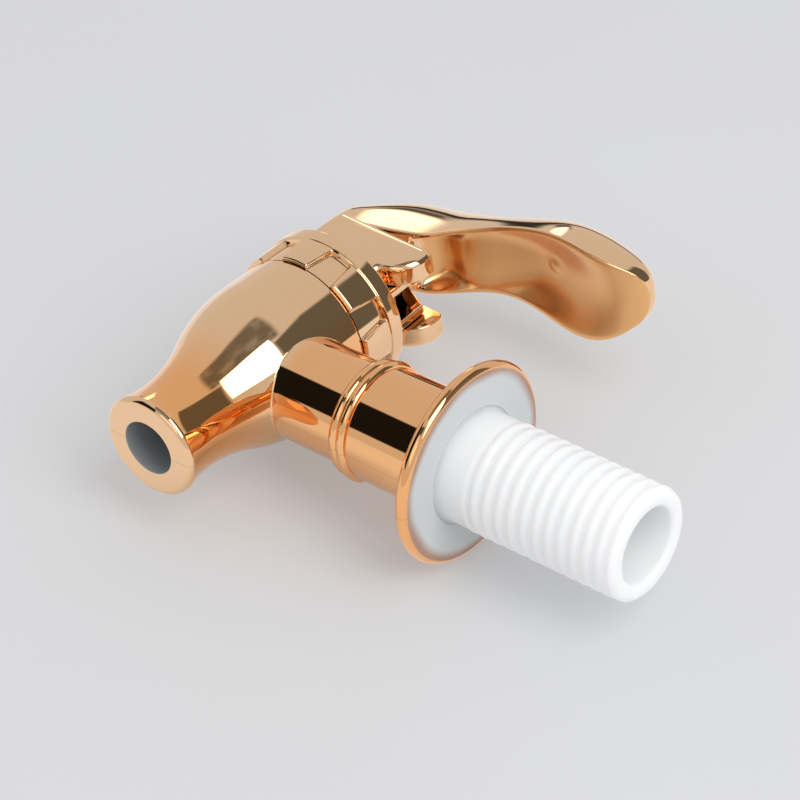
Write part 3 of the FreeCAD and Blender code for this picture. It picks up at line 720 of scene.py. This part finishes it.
    def joint_bead(self) -> bpy.types.Object:
        """Small hollow round where the tube leaves the chamber.

        A ball of radius joint_round rolls round the tube and touches both surfaces: its centre
        lies that far outside each. The visible face is the ball's arc between its two touching
        points, and a point inside the wall closes each section.
        """
        ball = self.joint_round
        turn = np.arange(240) * (2 * np.pi / 240)
        tube_normal = np.stack([np.cos(turn), np.zeros_like(turn), np.sin(turn)], 1)
        reach = self.tube_radius + ball
        centre_up = reach * np.sin(turn)
        height = centre_up.copy()
        for _ in range(12):
            slope = (self.radius_at(height + 0.01) - self.radius_at(height - 0.01)) / 0.02
            flat = 1 / np.sqrt(1 + slope**2)
            height = centre_up + ball * slope * flat
        distance = self.radius_at(height) + ball * flat
        centre_east = reach * np.cos(turn)
        centre_north = np.sqrt(distance**2 - centre_east**2)
        centre = np.stack([centre_east, centre_north + VALVE_Y, centre_up], 1)
        wall_normal = np.stack([centre_east / distance * flat, centre_north / distance * flat, -slope * flat], 1)
        share = np.linspace(0, 1, 10)[:, None, None]
        toward = (1 - share) * tube_normal + share * wall_normal
        toward /= np.linalg.norm(toward, axis=2, keepdims=True)
        face = centre - toward * ball
        inside = centre - (tube_normal + wall_normal) * (ball + 0.25)
        points = np.concatenate([face, inside[None]], 0)
        return grid_mesh("joint_bead", points, sharp=60.0)


@dataclass
class Shank:
    """White shank with its 16 mm by 2 mm moulded thread and open bore."""

    crest: float = 8.0
    depth: float = 0.3
    pitch: float = 2.0
    neck_radius: float = 7.86
    foot_round: float = 0.6
    thread_start: float = 4.2
    length: float = 28.6
    chamfer: float = 0.6
    bore: float = 5.4
    mouth_round: float = 0.6
    start_turn: float = 200.0
    segments: int = 168
    step: float = 0.1

    def build(self) -> bpy.types.Object:
        """Make the threaded shank.

        The outside is a grid over the distance along the shank and the turn about it. Its
        radius follows a softened cosine of the distance over the pitch less the turn over a
        full turn, which draws a right-hand helix. The relief fades in after the plain neck.

        Returns:
            The shank as a closed piece, its end rounded into the bore.
        """
        along = np.arange(-0.6, self.length - 0.15, self.step)
        turn = np.arange(self.segments) * (2 * np.pi / self.segments)
        phase = along[:, None] / self.pitch - turn[None, :] / (2 * np.pi) - self.start_turn / 360
        wave = np.cos(2 * np.pi * phase)
        ridge = 0.5 + 0.25 * wave * (3 - wave**2)
        fade = np.clip((along - self.thread_start + 0.5) / 1.2, 0, 1)[:, None]
        fade = fade**2 * (3 - 2 * fade)
        thread = self.crest - self.depth * (1 - ridge)
        radius = (1 - fade) * self.neck_radius + fade * thread
        foot = np.clip(1 - along / self.foot_round, 0, 1)[:, None]
        radius = radius + self.foot_round * (1 - np.sqrt(1 - foot**2))
        end = self.crest - self.chamfer * np.clip((along - self.length + self.chamfer) / self.chamfer, 0, 1)
        radius = np.where(along[:, None] > self.length / 2, np.minimum(radius, end[:, None]), radius)
        level = np.broadcast_to(along[:, None], radius.shape)
        outer = np.stack([radius * np.sin(turn), level, radius * np.cos(turn)], 2)
        mouth = np.concatenate(
            [
                arc((self.crest - self.chamfer - 0.25, self.length - 0.2), 0.2, 45, 90, 5),
                arc((self.bore + self.mouth_round, self.length - self.mouth_round), self.mouth_round, 90, 180, 12),
                line((self.bore, self.length - self.mouth_round - 0.1), (self.bore, -0.6), 20),
                np.array([(self.bore, -0.6)]),
            ]
        )
        inner_grid = turned(mouth, Axis.INLET, self.segments)
        return grid_mesh("shank", np.concatenate([outer, inner_grid], 0), sharp=75.0)


@dataclass
class Bonnet:
    """Screwed bonnet: grip pads with windows between them, a smooth ring, and the lever's ears."""

    turn: float = -7.3
    skirt: float = 9.85
    bore: float = 9.7
    grip_radius: float = 11.7
    edge: float = 0.4
    ring_edge: float = 0.25
    ring_radius: float = 11.9
    ring_base: float = 14.85
    top: float = 17.3
    roof: float = 14.4
    guide_radius: float = 3.9
    guide_foot: float = 11.2
    stem_hole: float = 3.05
    windows: int = 8
    window_floor: float = 11.0
    window_foot: float = 4.4
    window_head: float = 3.2
    window_sill: float = 0.2
    window_turn: float = 26.1
    window_soft: float = 0.36
    ear_gap: float = 7.36
    ear_thickness: float = 3.3
    ear_rear: float = 8.1
    ear_rear_top: float = 29.2
    ear_rear_round: float = 1.8
    ear_front: float = 11.6
    ear_front_top: float = 26.1
    ear_front_round: float = 1.5
    ear_overhang: float = 4.9
    ear_foot_round: float = 1.2
    ear_chin: float = 19.7
    ear_edge: float = 1.2
    ear_inner_edge: float = 0.2

    def grip(self) -> bpy.types.Object:
        """Make the pads, windows and ring as one turned wall.

        The profile is turned round the valve. In each eighth the columns follow the window's
        slanting sides. Inside a window the radius sinks to the floor's, and the step's sides
        are smooth rises as wide as window_soft.

        Returns:
            The closed ring, with its roof and the stem's guide inside.
        """
        edge, base, wide, rim = self.edge, self.ring_base, self.ring_radius, self.ring_edge
        profile = np.concatenate(
            [
                line((self.bore, self.skirt), (self.grip_radius - edge, self.skirt), 4),
                arc((self.grip_radius - edge, self.skirt + edge), edge, -90, 0, 9),
                line((self.grip_radius, self.skirt + edge + 0.3), (self.grip_radius, base - 0.6), 5),
                line((self.grip_radius, base - 0.6), (self.grip_radius, base - 0.03), 14),
                arc((wide - rim, base + rim), rim, -50, 0, 7),
                arc((wide - edge, self.top - edge), edge, 0, 90, 9),
                line((wide - edge - 0.2, self.top), (self.stem_hole, self.top), 5),
                line((self.stem_hole, self.top), (self.stem_hole, self.guide_foot), 3),
                line((self.stem_hole, self.guide_foot), (self.guide_radius, self.guide_foot), 2),
                line((self.guide_radius, self.guide_foot), (self.guide_radius, self.roof), 3),
                line((self.guide_radius, self.roof), (self.bore, self.roof), 3),
                line((self.bore, self.roof), (self.bore, self.skirt), 3),
            ]
        )
        radius, height = profile[:, :1], profile[:, 1:]
        near_edge = 0.5 + np.linspace(-0.1, 0.1, 13)
        half = np.concatenate([[0.15, 0.3], near_edge, [0.7, 0.8, 0.9]])
        step = np.concatenate([-half[::-1], [0.0], half, [1.0]])[None, :]
        share = np.clip((height - self.skirt) / (base - self.skirt), 0, 1)
        width = self.window_foot + share * (self.window_head - self.window_foot)
        side = np.arcsin(width / 2 / self.window_floor)
        sector = np.pi / self.windows
        inside = np.abs(step) / 0.5 * side
        outside = side + (np.abs(step) - 0.5) / 0.5 * (sector - side)
        offset = np.where(np.abs(step) < 0.5, inside, outside)
        past = (offset - side) * self.window_floor
        soft = self.window_soft / 2
        sunk = (1 - smooth(past, -soft, soft)) * (1 - smooth(height, base - self.window_sill - soft, base - 0.02))
        sunk_radius = radius - sunk * np.maximum(radius - self.window_floor, 0.0)
        first = math.radians(90 + self.window_turn + self.turn)
        centres = first + 2 * sector * np.arange(self.windows)
        angle = (centres[None, :, None] + (np.sign(step) * offset)[:, None, :]).reshape(len(profile), -1)
        around = np.tile(sunk_radius, (1, self.windows))
        level = np.broadcast_to(height, around.shape)
        points = np.stack([around * np.cos(angle), around * np.sin(angle) + VALVE_Y, level], 2)
        return grid_mesh("bonnet_grip", points, sharp=50.0)

    def ear_outline(self) -> np.ndarray:
        """Side view of an ear: foot, hollow round under the overhang, chin, sloping top."""
        reach, hollow = self.ear_overhang, self.ear_foot_round
        foot = self.ear_front - reach
        chin = (foot, self.ear_chin + reach)
        drop = math.sqrt((reach + hollow) ** 2 - hollow**2)
        touch = math.degrees(math.asin(hollow / (reach + hollow)))
        slope = math.degrees(math.atan2(self.ear_rear_top - self.ear_front_top, self.ear_rear + self.ear_front))
        lean = 90 - slope
        front_down = self.ear_front_round * math.tan(math.radians(lean / 2))
        rear_down = self.ear_rear_round * math.tan(math.radians((180 - lean) / 2))
        front = (self.ear_front - self.ear_front_round, self.ear_front_top - front_down)
        rear = (self.ear_rear_round - self.ear_rear, self.ear_rear_top - rear_down)
        buried = self.top - 0.6
        return np.concatenate(
            [
                line((-self.ear_rear, buried), (foot, buried), 2),
                line((foot, buried), (foot, chin[1] - drop), 3),
                arc((foot + hollow, chin[1] - drop), hollow, 180, 90 + touch, 10),
                arc(chin, reach, -90 + touch, 0, 28)[1:],
                arc(front, self.ear_front_round, 0, lean, 12),
                arc(rear, self.ear_rear_round, lean, 180, 14),
            ]
        )

    def ear(self, side: int) -> bpy.types.Object:
        """Make one ear.

        Args:
            side: 1 for the right ear, -1 for the left one.

        Returns:
            The ear: its outline carried across its thickness, and set in along its own
            normals where the edges are rounded, as quarter circles.
        """
        outline = self.ear_outline()
        onward = np.roll(outline, -1, 0) - outline
        onward /= np.linalg.norm(onward, axis=1, keepdims=True)
        tangent = onward + np.roll(onward, 1, 0)
        tangent /= np.linalg.norm(tangent, axis=1, keepdims=True)
        normal = np.stack([tangent[:, 1], -tangent[:, 0]], 1)
        bend = np.radians(np.linspace(0, 90, 9))
        inner, outer = self.ear_inner_edge, self.ear_edge
        near = self.ear_gap / 2
        far = near + self.ear_thickness
        across = np.concatenate([near + inner * (1 - np.cos(bend)), far - outer + outer * np.sin(bend)])
        inset = np.concatenate([inner * (1 - np.sin(bend)), outer * (1 - np.cos(bend))])
        section = outline[None] - inset[:, None, None] * normal[None]
        points = placed(section[..., 0], side * across[:, None], section[..., 1], self.turn)
        name = "ear_right" if side > 0 else "ear_left"
        return grid_mesh(name, points, closed_rows=False, sharp=50.0)


@dataclass
class Lever:
    """Spoon-shaped lever: arched skin with a rolled rim, a hollow underside, and its hub.

    Each station gives the distance forward of the valve, the half width, the height of the
    lower edge, the crest's height, the depth of the hollow, and how square the hollow is: a
    high power makes a channel, a power near two a spoon.
    """

    turn: float = -7.3
    stations: tuple[tuple[float, ...], ...] = (
        (-12.0, 0.0, 32.5, 32.5, 0.0, 8.0),
        (-11.4, 3.6, 31.3, 34.4, 0.0, 8.0),
        (-8.6, 4.7, 30.0, 37.5, 0.0, 8.0),
        (-2.0, 4.85, 29.9, 41.8, 0.0, 8.0),
        (2.6, 4.95, 30.4, 42.2, 0.0, 8.0),
        (4.2, 5.0, 30.7, 42.3, 2.6, 8.0),
        (8.5, 5.15, 33.2, 42.35, 1.5, 8.0),
        (14.0, 5.6, 36.15, 42.4, 0.6, 6.0),
        (20.0, 6.85, 36.4, 43.0, 2.2, 3.2),
        (27.0, 7.9, 35.1, 43.15, 2.2, 2.2),
        (32.5, 6.95, 34.6, 42.6, 1.1, 2.0),
        (35.2, 5.75, 35.25, 42.0, 0.3, 2.0),
        (36.8, 4.7, 36.2, 41.4, 0.0, 2.0),
        (38.1, 3.45, 37.2, 40.45, 0.0, 2.0),
        (38.95, 0.0, 38.85, 38.85, 0.0, 2.0),
    )
    wall: float = 0.6
    dish: float = 1.4
    draft: float = 0.07
    crown: float = 4.0
    flatness: float = 0.43
    crest_lift: float = 0.12
    rim_round: float = 0.22
    boss_place: tuple[float, float] = (22.4, 0.4)
    boss_height: float = 0.4
    boss_radius: float = 1.1
    rows: int = 300
    hub_width: float = 7.0
    foot: float = 16.98

    def skin(self) -> bpy.types.Object:
        """Make the lever's skin.

        The stations are joined by one spline over their summed chords. Each section rises from
        the rim with a little draft, its half width times one less the level to the crown's
        power, to the power of flatness, and goes round the rim's small corners. It comes back
        through the hollow, whose height over the rim is its depth times one less the share of
        the half width to the station's power, to the dish's power, less a small dome.

        Returns:
            The closed skin, its nose and heel drawn to a pole.
        """
        knots = np.array(self.stations)
        chords = np.linalg.norm(np.diff(knots[:, :4], axis=0), axis=1)
        along = np.concatenate([[0.0], np.cumsum(chords)])
        places = np.linspace(0, along[-1], self.rows)
        values = spline(np.column_stack([along, knots]), places)
        forward, half, rim, crest, depth, power = (values[:, [number]] for number in range(6))
        half = np.maximum(half, 0.0)
        depth = np.maximum(depth, 0.0)
        crest = np.maximum(crest, rim)
        crest = crest + self.crest_lift * smooth(half, 0.0, 3.0)
        corner = np.minimum(self.rim_round, 0.3 * half)
        turn = np.linspace(math.asin(0.49), np.pi / 2, 22)
        level = np.concatenate([np.linspace(0, 0.7, 16)[:-1], np.sin(turn) ** 0.5])[None, :]
        height = crest - rim - corner
        full = np.maximum(1 - level**self.crown, 0.0) ** self.flatness
        side_across = (half - self.draft * height * level) * full
        side_up = rim + corner + height * level
        bend = np.radians(np.linspace(0, 90, 7))[None, 1:]
        round_across = half - corner + corner * np.cos(bend)
        round_up = rim + corner - corner * np.sin(bend)
        inner = np.maximum(half - self.wall, 0.35 * half)
        place = np.sin(np.linspace(np.pi / 2, -np.pi / 2, 65))[None, :]
        hollow_across = inner * place
        hollow_up = rim + depth * (1 - np.abs(place) ** np.maximum(power, 2.0)) ** self.dish
        aside = (forward - self.boss_place[0]) ** 2 + (hollow_across - self.boss_place[1]) ** 2
        hollow_up = hollow_up - self.boss_height * np.exp(-aside / self.boss_radius**2)
        section = [
            (side_across, side_up),
            (-side_across[:, -2::-1], side_up[:, -2::-1]),
            (-round_across, round_up),
            (hollow_across[:, ::-1], hollow_up[:, ::-1]),
            (round_across[:, ::-1], round_up[:, ::-1]),
        ]
        across = np.concatenate([part[0] for part in section], 1)
        up = np.concatenate([part[1] for part in section], 1)
        skin = grid_mesh("lever_skin", placed(forward, across, up, self.turn), closed_rows=False, sharp=60.0)
        self._mark_underside(skin)
        return skin

    def _mark_underside(self, skin: bpy.types.Object) -> None:
        """Note how far each point faces down, for the coarser finish of the hollow."""
        mesh = skin.data
        facing = np.empty(len(mesh.vertices) * 3)
        mesh.vertex_normals.foreach_get("vector", facing)
        place = np.empty(len(mesh.vertices) * 3)
        mesh.vertices.foreach_get("co", place)
        down = smooth(-facing.reshape(-1, 3)[:, 2], 0.15, 0.5)
        high = smooth(place.reshape(-1, 3)[:, 2], 31.8 * MM, 32.6 * MM)
        satin = mesh.attributes.new("satin", "FLOAT", "POINT")
        satin.data.foreach_set("value", down * high)

    def hub(self) -> list[bpy.types.Object]:
        """Hub with its cam foot: two cheeks across the lever, the stem's eye between them."""
        cam = bulge((5.5, self.foot), (9.135, self.foot + 0.844), -0.21, 7)
        edge = np.concatenate(
            [
                cam,
                np.array([(8.9, 25.0), (3.1, 28.5), (3.1, 32.6), (-8.0, 32.6), (-8.0, 29.8)]),
                cam[::-1] * (-1, 1),
            ]
        )
        half = self.hub_width / 2
        slot = 2.12
        pieces = []
        for name, near, far in (("left", -half, -slot), ("right", slot, half)):
            across = np.array([near, far])[:, None]
            across = np.broadcast_to(across, (2, len(edge)))
            points = placed(edge[None, :, 0], across, edge[None, :, 1], self.turn)
            pieces.append(grid_mesh(f"hub_{name}", points, closed_rows=False, sharp=30.0))
        return pieces


def soften(piece: bpy.types.Object, width_mm: float, segments: int = 4) -> None:
    """Round a piece's crisp edges with a bevel that keeps the faces' own normals."""
    bevel = piece.modifiers.new("soft_edges", "BEVEL")
    bevel.width = width_mm * MM
    bevel.segments = segments
    bevel.limit_method = "ANGLE"
    bevel.angle_limit = math.radians(28)
    bevel.harden_normals = True


@dataclass
class Tap:
    """The whole tap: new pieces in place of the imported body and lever, and finishes for the rest."""

    nodes: dict[str, bpy.types.Object]
    moulding: Moulding = field(default_factory=Moulding)
    shank: Shank = field(default_factory=Shank)
    bonnet: Bonnet = field(default_factory=Bonnet)
    lever: Lever = field(default_factory=Lever)

    def build(self) -> None:
        """Build and dress every piece."""
        self._moulding()
        self._bonnet()
        self._lever()
        self._packed_pieces()

    def _moulding(self) -> None:
        """Plated body, its joint round and the white shank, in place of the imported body."""
        plating = PlatedPlastic("rose_gold_body", tube_deep=0.75, seam=True, bare=True).build()
        white = MouldedPlastic("milky_shank", sink=0.9).build()
        body = joined(
            "plated_body",
            self.moulding.spout(),
            [("UNION", self.moulding.inlet()), ("DIFFERENCE", self.moulding.bore())],
        )
        bead = self.moulding.joint_bead()
        shank = self.shank.build()
        for piece, material in ((body, plating), (bead, plating), (shank, white)):
            self._fit(piece, material, Body.TAP, "tap_body")

    def _bonnet(self) -> None:
        """Grip ring and ears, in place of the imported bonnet."""
        plating = PlatedPlastic("rose_gold_bonnet", deep_mm=(-30.0, -31.0)).build()
        for piece in (self.bonnet.grip(), self.bonnet.ear(1), self.bonnet.ear(-1)):
            self._fit(piece, plating, Body.TAP, "bonnet")

    def _lever(self) -> None:
        """Lever's skin and hub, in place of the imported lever."""
        plating = PlatedPlastic("rose_gold_lever", deep_mm=(-30.0, -31.0), satin=0.3).build()
        skin = self.lever.skin()
        cheeks = self.lever.hub()
        for cheek in cheeks:
            soften(cheek, 0.35)
        for piece in (skin, *cheeks):
            self._fit(piece, plating, Body.LEVER, "lever")

    def _fit(
        self, piece: bpy.types.Object, material: bpy.types.Material, body: Body, node: str
    ) -> None:
        """Dress a new piece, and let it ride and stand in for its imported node."""
        dress(piece, material)
        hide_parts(node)
        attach(piece, body.value)
        LOG.info("%s: %d faces", piece.name, len(piece.data.polygons))

    def _packed_pieces(self) -> None:
        """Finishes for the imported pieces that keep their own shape."""
        stem = MouldedPlastic("stem_plastic", colour="#E6E6E2", shade="#DCDCD8")
        cup = MouldedPlastic("cup_silicone", colour="#DCDCD8", shade="#CFCFCA", roughness=0.5, sink=0.5)
        finishes: dict[str, MouldedPlastic | DrawnSteel] = {
            "valve_stem": stem,
            "seat_cup": cup,
            "lever_pin": DrawnSteel("pin_steel"),
            "return_spring": DrawnSteel("spring_wire"),
        }
        for name, finish in finishes.items():
            node = self.nodes[name]
            node.data.materials.clear()
            node.data.materials.append(finish.build())
            LOG.info("%s: packed shape, %s", name, finish.name)


# Table, light and camera


@dataclass(frozen=True)
class Card:
    """A dark, grey or bright panel that the plating mirrors and nothing else sees.

    bearing and height are the direction to its middle, in degrees, wide and tall its angles.
    """

    name: str
    bearing: float
    height: float
    wide: float
    tall: float
    level: float
    soft: float
    tilt: float = 0.0
    ragged: float = 0.0
    distance_mm: float = 900.0


@dataclass
class Studio:
    """Pale table, light tent, one soft box, cards for the plating to mirror and the camera."""

    tent: float = 0.74
    cards: tuple[Card, ...] = (
        Card("card_camera_side", -47.0, -41.0, 44.0, 40.0, 0.012, 0.06, tilt=-38.0),
        Card("card_low", -2.0, -35.0, 56.0, 11.0, 0.10, 0.20),
        Card("card_window_side", 58.0, 34.0, 60.0, 54.0, 0.15, 0.08),
        Card("card_room", 7.0, -3.0, 46.0, 44.0, 0.19, 0.14, ragged=0.3),
        Card("card_white", 25.0, -54.0, 44.0, 26.0, 1.35, 0.15, distance_mm=850.0),
        Card("card_frame", -74.0, 49.0, 15.0, 9.0, 0.10, 0.30, tilt=20.0, distance_mm=960.0),
        Card("light_strip", -67.0, 45.5, 14.0, 8.0, 2.4, 0.25, tilt=32.0),
    )
    aim_mm: tuple[float, float, float] = (0.0, -15.0, 8.0)
    box_bearing: float = 44.0
    box_height: float = -7.0
    box_size_mm: tuple[float, float] = (660.0, 440.0)
    horizon_mm: tuple[float, float] = (880.0, 95.0)
    horizon_turn: tuple[float, float] = (-47.0, -8.0)
    horizon_level: float = 0.04
    horizon_sides: int = 24
    horizon_solid: float = 0.35
    box_radiance: float = 3.7
    box_distance_mm: float = 860.0
    table_x_mm: float = -14.6
    camera_place_mm: tuple[float, float, float] = (311.0, 248.3, -296.0)
    camera_turn: tuple[float, float, float] = (139.767, -38.975, 93.801)
    lens_mm: float = 169.5

    def build(self) -> None:
        """Make the table, the light and the camera."""
        self._world()
        self._table()
        self._soft_box()
        for card in self.cards:
            self._card(card)
        self._horizon()
        self._camera()

    def _direction(self, bearing: float, height: float) -> np.ndarray:
        """Unit vector at a bearing and a height, both in degrees."""
        flat = math.cos(math.radians(height))
        return np.array(
            [
                flat * math.cos(math.radians(bearing)),
                flat * math.sin(math.radians(bearing)),
                math.sin(math.radians(height)),
            ]
        )

    def _world(self) -> None:
        """Even light from all round, as inside a light tent."""
        world = bpy.data.worlds.new("light_tent")
        world.use_nodes = True
        background = world.node_tree.nodes["Background"]
        background.inputs[0].default_value = (self.tent, self.tent, self.tent * 1.01, 1.0)
        background.inputs[1].default_value = 1.0
        bpy.context.scene.world = world

    def _panel(
        self, name: str, middle: np.ndarray, wide: float, tall: float, tilt: float
    ) -> bpy.types.Object:
        """Flat panel that faces the tap, its place kept in its mesh."""
        facing = -middle / np.linalg.norm(middle)
        right = np.cross([0.0, 0.0, 1.0], facing)
        right /= np.linalg.norm(right)
        above = np.cross(facing, right)
        lean = math.radians(tilt)
        across = right * math.cos(lean) + above * math.sin(lean)
        upward = above * math.cos(lean) - right * math.sin(lean)
        corners = [
            middle + across * wide * side / 2 + upward * tall * end / 2
            for side, end in ((-1, -1), (1, -1), (1, 1), (-1, 1))
        ]
        mesh = bpy.data.meshes.new(name)
        mesh.from_pydata([tuple(corner * MM) for corner in corners], [], [(0, 1, 2, 3)])
        layer = mesh.uv_layers.new(name="panel")
        layer.data.foreach_set("uv", [0, 0, 1, 0, 1, 1, 0, 1])
        panel = bpy.data.objects.new(name, mesh)
        bpy.context.scene.collection.objects.link(panel)
        return panel

    def _card(self, card: Card) -> None:
        """Hang one card, its edges fading out."""
        middle = self.aim_mm + self._direction(card.bearing, card.height) * card.distance_mm
        wide = 2 * card.distance_mm * math.tan(math.radians(card.wide / 2))
        tall = 2 * card.distance_mm * math.tan(math.radians(card.tall / 2))
        panel = self._panel(card.name, middle, wide, tall, card.tilt)
        recipe = Recipe(card.name)
        place = recipe.add("ShaderNodeTexCoord", output="UV")
        shares = []
        for part in "XY":
            along = recipe.add("ShaderNodeSeparateXYZ", {0: place}, part)
            offset = recipe.add(MATH, {0: along, 1: 0.5}, operation="SUBTRACT")
            offset = recipe.add(MATH, {0: offset}, operation="ABSOLUTE")
            inward = recipe.add(MATH, {0: 0.5, 1: offset}, operation="SUBTRACT")
            shares.append(recipe.add(RANGE, {0: inward, 1: 0.0, 2: card.soft}, **SMOOTH))
        inner = recipe.add(MATH, dict(enumerate(shares)), operation="MULTIPLY")
        if card.ragged:
            cloud = recipe.add(NOISE, {"Vector": place, "Scale": 3.0, "Detail": 3.0}, "Fac")
            torn = recipe.add(RANGE, {0: cloud, 1: 0.30, 2: 0.55}, **SMOOTH)
            kept = {0: torn, 1: card.ragged, 2: 1.0 - card.ragged}
            kept_share = recipe.add(MATH, kept, operation="MULTIPLY_ADD")
            inner = recipe.add(MATH, {0: inner, 1: kept_share}, operation="MULTIPLY")
        self._hide_but_mirror(panel, recipe, inner, card.level)

    def _horizon(self) -> None:
        """Dark gap on the far side between the table's rim and the tent, which lines the silhouettes."""
        radius, top = self.horizon_mm
        count = self.horizon_sides + 1
        turn = np.radians(np.linspace(*self.horizon_turn, count))
        rim = np.stack([np.sin(turn), np.cos(turn)], 1) * radius * MM
        low = np.column_stack([np.full(count, self.table_x_mm * MM), rim])
        high = np.column_stack([np.full(count, top * MM), rim])
        mesh = bpy.data.meshes.new("horizon")
        faces = [(side, side + 1, side + count + 1, side + count) for side in range(count - 1)]
        mesh.from_pydata(np.concatenate([low, high]).tolist(), [], faces)
        gap = bpy.data.objects.new("horizon", mesh)
        bpy.context.scene.collection.objects.link(gap)
        recipe = Recipe("horizon")
        place = recipe.add("ShaderNodeTexCoord", output="Object")
        above = recipe.add("ShaderNodeSeparateXYZ", {0: place}, "X")
        solid = top * self.horizon_solid
        share = recipe.add(RANGE, {0: above, 1: top * MM, 2: solid * MM}, **SMOOTH)
        self._hide_but_mirror(gap, recipe, share, self.horizon_level)

    def _hide_but_mirror(
        self, panel: bpy.types.Object, recipe: Recipe, share: bpy.types.NodeSocket, level: float
    ) -> None:
        """Show a panel to mirror rays alone, as an even grey where the share is 1."""
        panel.visible_camera = False
        panel.visible_diffuse = False
        panel.visible_shadow = False
        grey = (level, level, level * 0.9, 1.0)
        glow = recipe.add("ShaderNodeEmission", {"Color": grey, "Strength": 1.0})
        clear = recipe.add("ShaderNodeBsdfTransparent")
        shader = recipe.add("ShaderNodeMixShader", {0: share, 1: clear, 2: glow})
        panel.data.materials.append(recipe.close(shader))

    def _soft_box(self) -> None:
        """One soft box beside the camera, which draws the white highlights."""
        lamp = bpy.data.lights.new("soft_box", "AREA")
        lamp.shape = "RECTANGLE"
        lamp.size, lamp.size_y = (length * MM for length in self.box_size_mm)
        lamp.energy = self.box_radiance * math.pi * lamp.size * lamp.size_y
        direction = self._direction(self.box_bearing, self.box_height)
        box = bpy.data.objects.new("soft_box", lamp)
        box.location = tuple((self.aim_mm + direction * self.box_distance_mm) * MM)
        box.rotation_euler = (math.radians(90 - self.box_height), 0.0, math.radians(self.box_bearing + 90))
        box.visible_camera = False
        bpy.context.scene.collection.objects.link(box)

    def _table(self) -> None:
        """Pale table under the tap, seen only from above."""
        reach = 450.0
        mesh = bpy.data.meshes.new("table")
        signs = np.array([(-1, -1), (1, -1), (1, 1), (-1, 1)])
        corners = np.column_stack([np.full(4, self.table_x_mm), signs * reach]) * MM
        mesh.from_pydata(corners.tolist(), [], [(0, 1, 2, 3)])
        table = bpy.data.objects.new("table", mesh)
        bpy.context.scene.collection.objects.link(table)
        mesh.materials.append(TableTop().build())

    def _camera(self) -> None:
        """Long lens at the photograph's place, turned on its side as the tap lies."""
        data = bpy.data.cameras.new("camera")
        data.lens = self.lens_mm
        data.sensor_width = 36.0
        data.clip_start = 0.01
        data.clip_end = 10.0
        camera = bpy.data.objects.new("camera", data)
        camera.location = tuple(part * MM for part in self.camera_place_mm)
        camera.rotation_euler = tuple(math.radians(part) for part in self.camera_turn)
        bpy.context.scene.collection.objects.link(camera)
        bpy.context.scene.camera = camera


def main() -> None:
    """Build the tap and its studio."""
    logging.basicConfig(level=logging.INFO, format="%(message)s")
    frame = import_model()
    bpy.context.scene.view_settings.view_transform = "Standard"
    Tap(frame["nodes"]).build()
    Studio().build()


if __name__ == "__main__":
    main()
